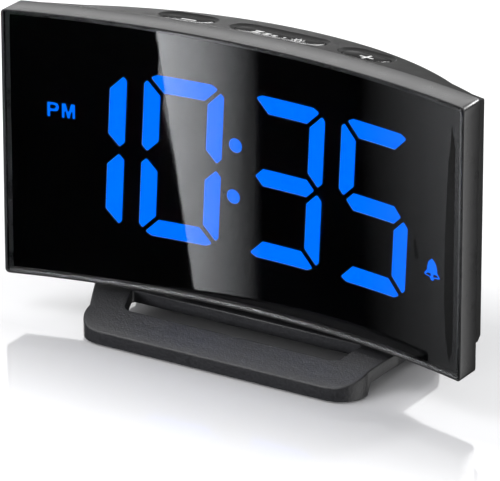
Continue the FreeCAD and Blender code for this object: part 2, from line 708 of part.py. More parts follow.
def pill_wire(length, depth, high):
    """Return a pill-shaped wire at one height."""
    radius = depth / 2
    half = (length - depth) / 2
    left, right = Vector(-half, 0, high), Vector(half, 0, high)
    up, out = Vector(0, radius, 0), Vector(radius, 0, 0)
    edges = [
        Part.LineSegment(left - up, right - up).toShape(),
        Part.Arc(right - up, right + out, right + up).toShape(),
        Part.LineSegment(right + up, left + up).toShape(),
        Part.Arc(left + up, left - out, left - up).toShape(),
    ]
    return Part.Wire(edges)


def housing_block(tag, inset, front, layer_back):
    """Bent layer plus the round-backed bulge behind it, set in by a wall if asked."""
    low = HOUSING_LOW + " + " + inset
    high = HOUSING_HIGH + " - " + inset
    width = "Sizes.panel_width - 2 * Sizes.housing_side - 2 * (%s)" % inset
    layer = arc_slab(tag + "_layer", front, layer_back, width, low, high)
    centre_y = GLASS_Y + " + Sizes.housing_reach - Sizes.bulge_radius"
    height = "(%s) - (%s)" % (high, low)
    bulge = cylinder(tag + "_bulge", "Sizes.bulge_radius - " + inset, height, ("0", centre_y, low))
    inner = cylinder(tag + "_hollow", front, height, ("0", AXIS_Y, low))
    width_box = box(tag + "_width", (width, "Sizes.bulge_radius * 2", height),
                    ("-(%s) / 2" % width, GLASS_Y + " - Sizes.panel_width / 8", low))
    back = overlap(tag + "_back", [cut(tag + "_shell", bulge, [inner]), width_box])
    return join(tag + "_both", [layer, back])


def top_cone(tag, inset):
    """Everything above the housing's sloping top, as a tool: a slab less a flat cone."""
    fall = "(Sizes.panel_width / 8)"
    roof = HOUSING_HIGH + " - " + inset
    item = DOC.addObject("Part::Cone", tag + "_cone")
    bind(item, Radius1=FRAME_BACK + " + " + fall + " / tan(Sizes.housing_slope)", Radius2=FRAME_BACK,
         Height=fall)
    place(item, "0", AXIS_Y, roof + " - " + fall)
    above = box(tag + "_above", ("Sizes.panel_width * 2", "Sizes.panel_width", fall + " + 2"),
                ("-Sizes.panel_width", GLASS_Y + " - Sizes.panel_width / 4", roof + " - " + fall))
    cap = cylinder(tag + "_cap", FRAME_BACK, "3", ("0", AXIS_Y, roof + " - 1"))
    return cut(tag + "_roof", above, [item, cap])


def edges_at(shape, test, radius):
    """Return fillet entries for the edges that pass a test."""
    return [(index, radius, radius) for index, edge in enumerate(shape.Edges, start=1) if test(edge)]


def make_rear_housing():
    """Moulded back shell: sloping top, round back, bevelled foot, openings for keys, socket and cell."""
    outer = cut("housing_outer", housing_block("outer", "0", FRAME_BACK, FRAME_BACK + " + Sizes.housing_layer"),
                [top_cone("outer", "0")])
    DOC.recompute()
    foot = value(HOUSING_LOW)
    bevelled = DOC.addObject("Part::Chamfer", "housing_bevelled")
    bevelled.Base = outer
    bevelled.Edges = edges_at(outer.Shape, lambda edge: is_back_edge(edge, foot), value("Sizes.housing_bevel"))
    DOC.recompute()
    softened = DOC.addObject("Part::Fillet", "housing_softened")
    softened.Base = bevelled
    softened.Edges = edges_at(bevelled.Shape, is_crown_edge, value("Sizes.housing_round"))
    DOC.recompute()
    wall = "Sizes.housing_wall"
    inner = cut("housing_inner", housing_block("inner", wall, FRAME_BACK,
                                               FRAME_BACK + " + Sizes.housing_layer - 1.4"),
                [top_cone("inner", wall + " / cos(Sizes.housing_slope)")])
    DOC.recompute()
    lining = DOC.addObject("Part::Chamfer", "housing_lining")
    lining.Base = inner
    lining.Edges = edges_at(inner.Shape, lambda edge: is_back_edge(edge, foot + value(wall)),
                            value("Sizes.lining_bevel"))
    DOC.recompute()
    shell = cut("housing_shell", softened, [lining])
    parts = [shell, door_seat()] + board_bosses() + neck_bosses()
    filled = join("housing_filled", parts)
    kept = overlap("housing_kept", [filled, softened])
    openings = button_openings() + door_openings() + rear_key_openings() + housing_screw_holes()
    openings += board_boss_holes() + neck_boss_holes() + sound_holes()
    node(cut("rear_housing_solid", kept, openings), "rear_housing")


def is_back_edge(edge, high):
    """Tell whether an edge lies at a height and behind the frame."""
    span = edge.BoundBox
    level = abs(span.ZMin - high) < 1e-3 and abs(span.ZMax - high) < 1e-3
    middle = edge.valueAt((edge.FirstParameter + edge.LastParameter) / 2)
    ring = math.hypot(middle.x, middle.y - value(AXIS_Y))
    wide = span.XLength > 2.0
    return level and wide and ring > value(FRAME_BACK) + 0.6


def is_crown_edge(edge):
    """Tell whether an edge runs round the top of the housing's bulge."""
    middle = edge.valueAt((edge.FirstParameter + edge.LastParameter) / 2)
    ring = math.hypot(middle.x, middle.y - value(AXIS_Y))
    high = middle.z > value(HOUSING_HIGH) - value("Sizes.panel_height / 8")
    return high and ring > value(FRAME_BACK) + value("Sizes.housing_layer") + 2 and edge.BoundBox.XLength > 20


def button_openings():
    """Dish and through hole for each top button."""
    tools = []
    gap = value("Sizes.button_gap")
    depth = value("Sizes.button_depth") + 2 * gap
    for name, (side, length) in BUTTONS.items():
        length = value(length) + 2 * gap
        shape = dish(length, depth, value("Sizes.button_sink"), value("Sizes.dish_margin"))
        shape = shape.fuse(pill(length, depth, 14.0, -8.0))
        tool = solid(name + "_opening", shape)
        tool.Placement = button_place(side)
        tools.append(tool)
    return tools


def door_centre():
    """Return X and Z expressions of the battery door's centre."""
    return "0", "Sizes.door_high"


def from_back(offset):
    """Return a Y expression measured back from the glass."""
    return "%s + (%s)" % (GLASS_Y, offset)


DOOR_FRONT = "(Sizes.door_back - Sizes.door_thick)"
LEDGE_BACK = "(" + DOOR_FRONT + " - 0.05)"
LEDGE_FRONT = "(" + LEDGE_BACK + " - Sizes.ledge_thick)"


def door_seat():
    """Thick ring behind the back wall that carries the battery door's ledge."""
    x, z = door_centre()
    return rod("door_ring", "Sizes.door_radius + 2", "Sizes.door_back - " + LEDGE_FRONT,
               (x, from_back(LEDGE_FRONT), z))


def door_openings():
    """Recess for the door, throat for its hub, and two notches that let the lugs in."""
    x, z = door_centre()
    recess = rod("door_recess", "Sizes.door_radius + Sizes.door_gap", "6", (x, from_back(LEDGE_BACK), z))
    throat = rod("door_throat", "Sizes.throat_radius", "20", (x, from_back(LEDGE_FRONT + " - 8"), z))
    width = 5.4
    notch = Part.makeBox(2 * value("Sizes.door_radius - 0.6"), 12.0, width,
                         Vector(-value("Sizes.door_radius - 0.6"), -7.0, -width / 2))
    notch.rotate(Vector(), Vector(0, 1, 0), value("Sizes.door_turn"))
    slots = solid("door_notches", notch)
    slots.Placement = Placement(Vector(0, value(from_back(LEDGE_BACK)), value(z)), Rotation())
    return [recess, throat, slots]


def board_spots():
    """Return the X and Z expressions of the four board bosses."""
    middle = "Sizes.main_foot + Sizes.main_height / 2"
    return [("%g * Sizes.boss_spread_x" % across, "%s + %g * Sizes.boss_spread_z" % (middle, up))
            for across in (-0.5, 0.5) for up in (-0.5, 0.5)]


BOARD_REAR = "(Sizes.main_front + Sizes.pcb_thick)"


def board_bosses():
    """Four pillars from the back wall to the main board."""
    return [rod("board_boss_%d" % index, "Sizes.boss_radius", "Sizes.housing_reach - " + BOARD_REAR,
                (x, from_back(BOARD_REAR), z)) for index, (x, z) in enumerate(board_spots())]


def board_boss_holes():
    """Pilot holes in the board pillars."""
    return [rod("board_pilot_%d" % index, "Sizes.screw_radius + Sizes.screw_gap", "6.2",
                (x, from_back(BOARD_REAR + " - 0.2"), z)) for index, (x, z) in enumerate(board_spots())]


NECK_MIDDLE = "(Sizes.neck_front + Sizes.neck_depth / 2)"


def neck_bosses():
    """Two upright bosses inside the housing's floor for the stand's screws."""
    return [cylinder("neck_boss_%d" % way, "Sizes.boss_radius + 0.6", "Sizes.neck_boss_high",
                     ("%d * Sizes.stand_screw_at" % way, from_back(NECK_MIDDLE), HOUSING_LOW))
            for way in (-1, 1)]


def neck_boss_holes():
    """Pilot holes for the stand's screws."""
    return [cylinder("neck_pilot_%d" % way, "Sizes.stand_screw_radius + Sizes.screw_gap",
                     "Sizes.neck_boss_high - 0.3",
                     ("%d * Sizes.stand_screw_at" % way, from_back(NECK_MIDDLE), HOUSING_LOW + " - 0.5"))
            for way in (-1, 1)]


def rear_key_openings():
    """Round openings for the two rear buttons and the power socket's nose."""
    tools = [rod("rear_opening_%d" % way, "Sizes.rear_key_radius + Sizes.button_gap", "16",
                 ("%d * Sizes.rear_key_at" % way, from_back("Sizes.housing_reach - 8"), "Sizes.rear_key_high"))
             for way in (-1, 1)]
    tools.append(rod("socket_opening", "Sizes.socket_nose + Sizes.button_gap", "16",
                     ("Sizes.socket_at", from_back("Sizes.housing_reach - 8"), "Sizes.socket_high")))
    return tools


def housing_screw_holes():
    """Clearance holes and head seats for the four corner screws."""
    tools = []
    for index, (x, z) in enumerate(corner_spots()):
        tools.append(rod("corner_clear_%d" % index, "Sizes.screw_radius + Sizes.screw_gap", "12",
                         (x, corner_back(-1), z)))
        tools.append(rod("corner_seat_%d" % index, "Sizes.screw_head + 0.15", "12", (x, corner_back(1.4), z)))
    return tools


def corner_spots():
    """Return the X and Z expressions of the four corner screws."""
    across = "(Sizes.panel_width / 2 - Sizes.corner_boss_inset)"
    return [("%d * %s" % (side, across), "Sizes.panel_lift + " + rise)
            for side in (-1, 1) for rise in ("Sizes.corner_low", "Sizes.corner_high")]


def sound_holes():
    """A ring of small holes, and one in its middle, in front of the buzzer."""
    tools = []
    for index in range(7):
        reach = 0 if index == 0 else value("Sizes.sound_ring")
        angle = math.radians(60 * index)
        x = "Sizes.buzzer_at + %.4f" % (reach * math.cos(angle))
        z = "Sizes.buzzer_high + %.4f" % (reach * math.sin(angle))
        tools.append(rod("sound_%d" % index, "Sizes.sound_radius", "16",
                         (x, from_back("Sizes.housing_reach - 8"), z)))
    return tools


# ---------------------------------------------------------------- keys

CAP_THICK = "(Sizes.housing_wall - Sizes.button_sink + Sizes.flange_gap)"


def make_top_buttons():
    """Three pill-shaped caps, each with a retaining flange and a stem."""
    for label, (side, length) in BUTTONS.items():
        body = new_body(label)
        long = "(" + length + ")"
        deep = "Sizes.button_depth"
        cap = pill_sketch(body, label + "_cap_outline", long, deep)
        pad(body, label + "_cap", cap, CAP_THICK).Reversed = True
        flange = pill_sketch(body, label + "_flange_outline", long + " + 2 * Sizes.button_flange",
                             deep + " + 2 * Sizes.button_flange")
        bind(flange, **{".AttachmentOffset.Base.z": "-" + CAP_THICK})
        pad(body, label + "_flange", flange, "Sizes.flange_thick").Reversed = True
        half = "Sizes.stem_half"
        stem = outline_sketch(body, label + "_stem_outline", "XY_Plane",
                              rectangle("-" + half, half, "-" + half, half))
        bind(stem, **{".AttachmentOffset.Base.z": "-" + CAP_THICK + " - Sizes.flange_thick"})
        pad(body, label + "_stem", stem, "Sizes.stem_long").Reversed = True
        body.Placement = button_place(side, value("Sizes.button_sink"))


STEM_FOOT = "(Sizes.button_sink + " + CAP_THICK + " + Sizes.flange_thick + Sizes.stem_long)"
SWITCH_TOP = "(" + STEM_FOOT + " + Sizes.contact_gap)"
KEY_BOARD_TOP = "(" + SWITCH_TOP + " + Sizes.plunger_high + Sizes.switch_high)"


def pill_sketch(body, name, length, depth):
    """Draw a pill: two straight sides and two half circles, tied to the sheet."""
    sketch = body.newObject("Sketcher::SketchObject", name)
    sketch.AttachmentSupport = (plane_of(body, "XY_Plane"), [""])
    sketch.MapMode = "FlatFace"
    radius = value(depth) / 2
    half = (value(length) - value(depth)) / 2
    sketch.addGeometry(Part.LineSegment(Vector(-half, -radius, 0), Vector(half, -radius, 0)))
    sketch.addGeometry(Part.LineSegment(Vector(half, radius, 0), Vector(-half, radius, 0)))
    quarter = math.pi / 2
    for centre, start in ((half, -quarter), (-half, quarter)):
        rim = Part.Circle(Vector(centre, 0, 0), Vector(0, 0, 1), radius)
        sketch.addGeometry(Part.ArcOfCircle(rim, start, start + math.pi))
    for first, first_end, second, second_end in ((0, 2, 2, 1), (2, 2, 1, 1), (1, 2, 3, 1), (3, 2, 0, 1)):
        sketch.addConstraint(Sketcher.Constraint("Coincident", first, first_end, second, second_end))
    for line in (0, 1):
        sketch.addConstraint(Sketcher.Constraint("Horizontal", line))
    sketch.addConstraint(Sketcher.Constraint("PointOnObject", 2, 3, -1))
    for arc, way in ((2, 1), (3, -1)):
        tie = sketch.addConstraint(Sketcher.Constraint("DistanceX", -1, 1, arc, 3, way * half))
        sketch.setExpression("Constraints[%d]" % tie, "%d * ((%s) - (%s)) / 2" % (way, length, depth))
    tie = sketch.addConstraint(Sketcher.Constraint("Radius", 2, radius))
    sketch.setExpression("Constraints[%d]" % tie, "(%s) / 2" % depth)
    return sketch


def switch_shape():
    """Return a tact switch's body, which stands on its board at the origin, bored for its plunger."""
    side = value("Sizes.switch_side")
    high = value("Sizes.switch_high")
    body = Part.makeBox(side, side, high, Vector(-side / 2, -side / 2, 0))
    room = value("Sizes.plunger_sink + Sizes.travel + 0.1")
    bore = Part.makeCylinder(value("Sizes.plunger_radius + Sizes.plunger_gap"), room + 1, Vector(0, 0, high - room))
    return body.cut(bore)


def plunger_shape():
    """Return the plunger of that switch."""
    sink = value("Sizes.plunger_sink")
    return Part.makeCylinder(value("Sizes.plunger_radius"), value("Sizes.plunger_high") + sink,
                             Vector(0, 0, value("Sizes.switch_high") - sink))


def make_plunger(label, placement):
    """Add the plunger that travels with a button, as a node of its own."""
    shape = plunger_shape()
    shape.Placement = placement
    node(solid(label + "_solid", shape), label)


def make_key_switches():
    """Key board under the top buttons, following the same slope, with its three switches."""
    switches = []
    for label, (side, length) in BUTTONS.items():
        shape = switch_shape()
        shape.Placement = button_place(side, value(KEY_BOARD_TOP))
        switches.append(shape)
        make_plunger(label.replace("button", "plunger"), button_place(side, value(KEY_BOARD_TOP)))
    node(solid("key_switch_solids", Part.makeCompound(switches)), "key_switches")
    node(solid("key_board_solid", key_board_shape()), "key_board")


def key_board_shape():
    """Return the bent, sloping strip that carries the three top switches."""
    ring = value("Sizes.glass_radius + Sizes.button_ring")
    half_deep = value("Sizes.key_strip / 2")
    half_wide = value("Sizes.key_strip_half")
    slope = math.radians(value("Sizes.housing_slope"))
    top = value(HOUSING_HIGH) - value(KEY_BOARD_TOP) / math.cos(slope)
    thick = value("Sizes.pcb_thick") / math.cos(slope)
    start = value(FRAME_BACK)
    reach = value("Sizes.housing_reach")
    fall = reach * math.tan(slope)
    outline = Part.makePolygon([
        Vector(start, 0, top), Vector(start + reach, 0, top - fall),
        Vector(start + reach, 0, top - fall - thick), Vector(start, 0, top - thick), Vector(start, 0, top),
    ])
    sheet = Part.Face(outline).revolve(Vector(), Vector(0, 0, 1), 360)
    strip = Part.makeCylinder(ring + half_deep, top).cut(Part.makeCylinder(ring - half_deep, top))
    strip = strip.common(Part.makeBox(2 * half_wide, 2 * ring, top, Vector(-half_wide, 0, 0)))
    plate = sheet.common(strip)
    plate.translate(Vector(0, value(AXIS_Y), 0))
    return plate.Solids[0]


def make_rear_keys():
    """Two round rear buttons and the switches behind them on the main board."""
    start = BOARD_REAR + " + Sizes.switch_high + Sizes.plunger_high + Sizes.contact_gap"
    for label, way in (("set_button", 1), ("alarm_button", -1)):
        x = "%d * Sizes.rear_key_at" % way
        reach = math.sqrt(value("Sizes.bulge_radius") ** 2 - value("Sizes.rear_key_at") ** 2)
        surface = "Sizes.housing_reach - Sizes.bulge_radius + %.6f" % reach
        cap = rod(label + "_cap", "Sizes.rear_key_radius", "(%s) + 0.5 - (%s)" % (surface, start),
                  (x, from_back(start), "Sizes.rear_key_high"))
        flange = rod(label + "_collar", "Sizes.rear_key_radius + 1", "1",
                     (x, from_back("(%s) - Sizes.housing_wall - 2.6" % surface), "Sizes.rear_key_high"))
        node(join(label + "_solid", [cap, flange]), label)
    switches = []
    for label, way in (("set_plunger", 1), ("alarm_plunger", -1)):
        spot = Vector(way * value("Sizes.rear_key_at"), value(from_back(BOARD_REAR)),
                      value("Sizes.rear_key_high"))
        shape = switch_shape()
        shape.Placement = Placement(spot, BACKWARDS)
        switches.append(shape)
        make_plunger(label, Placement(spot, BACKWARDS))
    node(solid("rear_switch_solids", Part.makeCompound(switches)), "rear_switches")


# ---------------------------------------------------------------- electronics and battery

def make_main_board():
    """Flat board with four screw holes."""
    body = new_body("main_board")
    half = "Sizes.main_width / 2"
    outline = outline_sketch(body, "main_outline", "XZ_Plane",
                             rectangle("-" + half, half, "Sizes.main_foot",
                                       "Sizes.main_foot + Sizes.main_height"))
    pad(body, "main_plate", outline, "Sizes.pcb_thick").Reversed = True
    holes = body.newObject("Sketcher::SketchObject", "main_holes")
    holes.AttachmentSupport = (plane_of(body, "XZ_Plane"), [""])
    holes.MapMode = "FlatFace"
    for index, (x, z) in enumerate(board_spots()):
        rim = Part.Circle(Vector(value(x), value(z), 0), Vector(0, 0, 1), value("Sizes.screw_radius + 0.1"))
        holes.addGeometry(rim)
        for kind, text in (("DistanceX", x), ("DistanceY", z)):
            tie = holes.addConstraint(Sketcher.Constraint(kind, -1, 1, index, 3, value(text)))
            holes.setExpression("Constraints[%d]" % tie, text)
        tie = holes.addConstraint(Sketcher.Constraint("Radius", index, value("Sizes.screw_radius + 0.1")))
        holes.setExpression("Constraints[%d]" % tie, "Sizes.screw_radius + 0.1")
    pocket(body, "main_hole_cut", holes, "Sizes.pcb_thick * 4")
    place(body, "0", from_back("Sizes.main_front"), "0")


# Chips on the main board: name, width, depth, height, left edge, and rise above the board's foot.
CHIPS = [
    ("controller", 9.0, 1.6, 9.0, -6.0, 11.0),
    ("driver_left", 6.0, 1.4, 4.0, -28.0, 13.0),
    ("driver_right", 6.0, 1.4, 4.0, 20.0, 13.0),
    ("crystal", 4.6, 2.2, 2.0, 8.0, 7.0),
    ("regulator", 6.4, 2.2, 6.4, -30.0, 3.0),
]
CAPACITORS = (-16.0, 28.0)


def make_board_parts():
    """Controller, drivers, crystal, regulator and capacitors on the main board's front."""
    front = "Sizes.main_front"
    pieces = []
    for name, wide, deep, high, x, rise in CHIPS:
        spot = (str(x), from_back("%s - %g" % (front, deep)), "Sizes.main_foot + %g" % rise)
        pieces.append(box(name, (str(wide), str(deep), str(high)), spot))
    long = "Sizes.capacitor_long"
    for index, x in enumerate(CAPACITORS):
        pieces.append(rod("capacitor_%d" % index, "Sizes.capacitor_radius", long,
                          (str(x), from_back(front + " - " + long), "Sizes.main_foot + 5")))
    node(group("board_parts_group", pieces), "board_parts")


def make_ribbon():
    """Flat ribbon from the display board to the main board."""
    gap = "(Sizes.main_front - (%s - Sizes.glass_radius))" % BOARD_BACK
    start = "(%s - Sizes.glass_radius + 0.05)" % BOARD_BACK
    corner = ("-Sizes.ribbon_wide / 2", from_back(start), "Sizes.main_foot + Sizes.main_height * 0.72")
    size = ("Sizes.ribbon_wide", "%s - 0.1" % gap, "Sizes.ribbon_thick")
    node(box("ribbon_solid", size, corner), "ribbon_cable")


def make_power_socket():
    """Barrel socket: moulded body with a bored nose, and its centre pin."""
    start = BOARD_REAR
    reach = math.sqrt(value("Sizes.bulge_radius") ** 2 - value("Sizes.socket_at") ** 2)
    surface = "Sizes.housing_reach - Sizes.bulge_radius + %.6f" % reach
    block = box("socket_block", ("Sizes.socket_wide", "Sizes.socket_deep", "Sizes.socket_tall"),
                ("Sizes.socket_at - Sizes.socket_wide / 2", from_back(start),
                 "Sizes.socket_high - Sizes.socket_tall / 2"))
    nose = rod("socket_nose_solid", "Sizes.socket_nose", "(%s) - (%s) - 0.4" % (surface, start),
               ("Sizes.socket_at", from_back(start), "Sizes.socket_high"))
    bore = rod("socket_bore_tool", "Sizes.socket_bore", "20",
               ("Sizes.socket_at", from_back(start + " + 3"), "Sizes.socket_high"))
    pin_hole = rod("socket_pin_hole", "Sizes.socket_pin + Sizes.screw_gap", "20",
                   ("Sizes.socket_at", from_back(start + " + 1"), "Sizes.socket_high"))
    node(cut("power_socket_solid", join("socket_both", [block, nose]), [bore, pin_hole]), "power_socket")
    node(rod("socket_pin_solid", "Sizes.socket_pin", "(%s) - (%s) - 3" % (surface, start),
             ("Sizes.socket_at", from_back(start + " + 1.05"), "Sizes.socket_high")), "socket_pin")


def make_buzzer():
    """Round sounder with a hole in its face."""
    can = rod("buzzer_can", "Sizes.buzzer_radius", "Sizes.buzzer_deep",
              ("Sizes.buzzer_at", from_back(BOARD_REAR), "Sizes.buzzer_high"))
    mouth = rod("buzzer_mouth", "1", "3", ("Sizes.buzzer_at", from_back(BOARD_REAR + " + 4"), "Sizes.buzzer_high"))
    node(cut("buzzer_solid", can, [mouth]), "buzzer")


HUB_FRONT = "(" + LEDGE_FRONT + " - Sizes.door_lug - 0.15)"
CELL_BACK = "(" + HUB_FRONT + " - 0.3)"
CELL_FRONT = "(" + CELL_BACK + " - Sizes.cell_thick)"


def make_battery():
    """Coin cell, its cup-shaped holder and two contacts."""
    x, z = door_centre()
    cell = rod("coin_cell_solid", "Sizes.cell_radius", "Sizes.cell_thick", (x, from_back(CELL_FRONT), z))
    node(cell, "coin_cell")
    cup = rod("holder_cup", "Sizes.cell_radius + 1.9", CELL_BACK + " - " + BOARD_REAR,
              (x, from_back(BOARD_REAR), z))
    room = rod("holder_room", "Sizes.cell_radius + 0.9", "12", (x, from_back(CELL_FRONT + " - 0.6"), z))
    node(cut("cell_holder_solid", cup, [room]), "cell_holder")
    minus = rod("contact_minus", "4", "0.4", (x, from_back(CELL_FRONT + " - 0.5"), z))
    plus = box("contact_plus", ("4", "3", "0.5"),
               ("-2", from_back(CELL_FRONT), "Sizes.door_high + Sizes.cell_radius + 0.1"))
    node(group("cell_contacts_group", [minus, plus]), "cell_contacts")


def make_battery_door():
    """Round door with a coin slot, a hub and two bayonet lugs; it turns about its own axis."""
    x, z = door_centre()
    disc = rod("door_disc", "Sizes.door_radius", "Sizes.door_thick", (x, from_back(DOOR_FRONT), z))
    hub = rod("door_hub", "Sizes.throat_radius - Sizes.door_gap", DOOR_FRONT + " - " + HUB_FRONT,
              (x, from_back(HUB_FRONT), z))
    bar = box("door_lug_bar", ("2 * (Sizes.door_radius - 0.9)", "Sizes.door_lug", "4.6"),
              ("0.9 - Sizes.door_radius", from_back(HUB_FRONT), "Sizes.door_high - 2.3"))
    slot = box("door_slot", ("Sizes.coin_slot_long", "Sizes.coin_slot_wide", "Sizes.coin_slot_wide"),
               ("-Sizes.coin_slot_long / 2", from_back("Sizes.door_back - 0.8"),
                "Sizes.door_high - Sizes.coin_slot_wide / 2"))
    node(cut("battery_door_solid", join("door_all", [disc, hub, bar]), [slot]), "battery_door")


def make_screws():
    """Board screws, corner screws and stand screws, each kind in one node."""
    board = []
    for index, (x, z) in enumerate(board_spots()):
        head = rod("board_head_%d" % index, "Sizes.screw_head", "Sizes.screw_head_thick",
                   (x, from_back("Sizes.main_front - Sizes.screw_head_thick"), z))
        shank = rod("board_shank_%d" % index, "Sizes.screw_radius", "Sizes.pcb_thick + 5",
                    (x, from_back("Sizes.main_front"), z))
        board.append(join("board_screw_%d" % index, [head, shank]))
    node(group("board_screw_group", board), "board_screws")
    corner = []
    for index, (x, z) in enumerate(corner_spots()):
        head = rod("corner_head_%d" % index, "Sizes.screw_head", "Sizes.screw_head_thick",
                   (x, corner_back(1.45), z))
        shank = rod("corner_shank_%d" % index, "Sizes.screw_radius", "6.5", (x, corner_back(-5), z))
        recess = rod("corner_drive_%d" % index, "0.8", "2", (x, corner_back(2.1), z))
        corner.append(cut("corner_screw_%d" % index, join("corner_both_%d" % index, [head, shank]), [recess]))
    node(group("corner_screw_group", corner), "housing_screws")
    lower = []
    for way in (-1, 1):
        spot = ("%d * Sizes.stand_screw_at" % way, from_back(NECK_MIDDLE))
        head = cylinder("stand_head_%d" % way, "Sizes.stand_head_radius", "2", spot + ("Sizes.stand_crest - 2",))
        shank = cylinder("stand_shank_%d" % way, "Sizes.stand_screw_radius",
                         HOUSING_LOW + " + Sizes.neck_boss_high - 1.5 - (Sizes.stand_crest - 1)",
                         spot + ("Sizes.stand_crest - 1",))
        lower.append(join("stand_screw_%d" % way, [head, shank]))
    node(group("stand_screw_group", lower), "stand_screws")


# ---------------------------------------------------------------- stand

def make_stand():
    """One moulding: lipped plate on two feet, a through slot ahead of the clock, and the neck."""
    body = new_body("stand")
    lift = "Sizes.pad_stand_off"
    front = "-Sizes.stand_reach"
    under = "Sizes.stand_crest - Sizes.plate_thick"
    tail = "Sizes.stand_tail"
    profile = outline_sketch(body, "stand_profile", "YZ_Plane", [
        (front, lift),
        (front, "Sizes.stand_lip"),
        ("-Sizes.stand_reach * 0.76", "Sizes.stand_lip + (Sizes.stand_crest - Sizes.stand_lip) * 0.40"),
        ("-Sizes.stand_reach * 0.48", "Sizes.stand_lip + (Sizes.stand_crest - Sizes.stand_lip) * 0.71"),
        ("-Sizes.stand_reach * 0.22", "Sizes.stand_lip + (Sizes.stand_crest - Sizes.stand_lip) * 0.90"),
        ("Sizes.frame_depth * 0.5", "Sizes.stand_crest"),
        (tail + " - 8", "Sizes.stand_crest"),
        (tail + " - 2", "Sizes.stand_crest - 2"),
        (tail, "Sizes.stand_crest - 5"),
        (tail, lift),
        (tail + " - 8", lift),
        (tail + " - 9.5", under),
        ("-Sizes.stand_reach + Sizes.foot_depth + 12", under),
        ("-Sizes.stand_reach + Sizes.foot_depth + 1.6", under + " - 2"),
        ("-Sizes.stand_reach + Sizes.foot_depth", under + " - 2.9"),
        ("-Sizes.stand_reach + Sizes.foot_depth", lift),
    ])
    pad(body, "stand_bar", profile, "Sizes.stand_width + 4 * Sizes.left_flare", "Symmetric")
    trim_sides(body)
    slot = outline_sketch(body, "stand_slot", "XY_Plane", [
        ("-Sizes.slot_width / 2", "-Sizes.slot_front"),
        ("Sizes.slot_width / 2", "-Sizes.slot_front"),
        ("Sizes.slot_width / 2 + Sizes.slot_right_flare", "-Sizes.slot_front + Sizes.slot_depth"),
        ("-Sizes.slot_width / 2 - Sizes.slot_left_flare", "-Sizes.slot_front + Sizes.slot_depth"),
    ])
    pocket(body, "stand_slot_cut", slot, "Sizes.panel_width")
    neck = outline_sketch(body, "neck_outline", "XY_Plane",
                          rectangle("-Sizes.neck_width / 2", "Sizes.neck_width / 2", "Sizes.neck_front",
                                    "Sizes.neck_front + Sizes.neck_depth"))
    bind(neck, **{".AttachmentOffset.Base.z": under})
    pad(body, "neck", neck, HOUSING_LOW + " - (" + under + ")")
    DOC.recompute()
    round_edges(body, "stand_corners", is_stand_corner, "Sizes.stand_corner")
    round_edges(body, "slot_corners", is_slot_corner, "2")
    round_edges(body, "neck_corners", is_neck_corner, "3.5")
    drill(body, "screw_ways", "Sizes.stand_screw_radius + 0.2", "Sizes.panel_width / 2", "0")
    drill(body, "head_ways", "Sizes.stand_head_radius + 0.3", "Sizes.stand_crest * 2", "0")
    pads = foot_sketch(body, "pad_recesses", "0.1")
    bind(pads, **{".AttachmentOffset.Base.z": lift})
    pocket(body, "pad_recess_cut", pads, "2 * Sizes.pad_sink")
    place(body, "0", GLASS_Y, "0")


def trim_sides(body):
    """Cut the plate's sides so that it widens from its front towards its back."""
    far = "Sizes.stand_width"
    for way, name in ((-1, "left"), (1, "right")):
        edge = "%d * Sizes.stand_width / 2" % way
        wide = "%d * (Sizes.stand_width / 2 + Sizes.%s_flare)" % (way, name)
        side = outline_sketch(body, "side_" + name, "XY_Plane", [
            (edge, "-Sizes.stand_reach - 1"),
            (edge, "-Sizes.stand_reach + Sizes.stand_corner + 1"),
            (wide, "0"),
            (wide, "Sizes.stand_tail + 1"),
            ("%d * %s" % (way, far), "Sizes.stand_tail + 1"),
            ("%d * %s" % (way, far), "-Sizes.stand_reach - 1"),
        ])
        pocket(body, "side_cut_" + name, side, "Sizes.panel_width")


def round_edges(body, name, test, radius):
    """Fillet the edges of a body's tip that pass a test."""
    tip = body.Tip
    chosen = ["Edge%d" % index for index, edge in enumerate(tip.Shape.Edges, start=1) if test(edge)]
    fillet = body.newObject("PartDesign::Fillet", name)
    fillet.Base = (tip, chosen)
    bind(fillet, Radius=radius)
    DOC.recompute()
    return fillet


def upright_at(edge, x, y):
    """Tell whether an edge stands upright at a place on both sides of the middle."""
    span = edge.BoundBox
    thin = span.XLength < 1e-3 and span.YLength < 1e-3
    return thin and abs(abs(span.XMin) - x) < 1e-3 and abs(span.YMin - y) < 1e-3


def is_stand_corner(edge):
    """Tell whether an edge is one of the stand's four outer corners."""
    front = upright_at(edge, value("Sizes.stand_width / 2"), -value("Sizes.stand_reach"))
    tail = value("Sizes.stand_tail")
    return front or any(upright_at(edge, value("Sizes.stand_width / 2 + Sizes.%s_flare" % name), tail)
                        for name in ("left", "right"))


def is_slot_corner(edge):
    """Tell whether an edge is one of the slot's four corners."""
    front = upright_at(edge, value("Sizes.slot_width / 2"), -value("Sizes.slot_front"))
    back = value("Sizes.slot_depth - Sizes.slot_front")
    return front or any(upright_at(edge, value("Sizes.slot_width / 2 + Sizes.slot_%s_flare" % name), back)
                        for name in ("left", "right"))


def is_neck_corner(edge):
    """Tell whether an edge is one of the neck's upright corners."""
    half = value("Sizes.neck_width / 2")
    front = value("Sizes.neck_front")
    back = value("Sizes.neck_front + Sizes.neck_depth")
    tall = edge.BoundBox.ZMax > value("Sizes.stand_crest") + 1
    return tall and (upright_at(edge, half, front) or upright_at(edge, half, back))


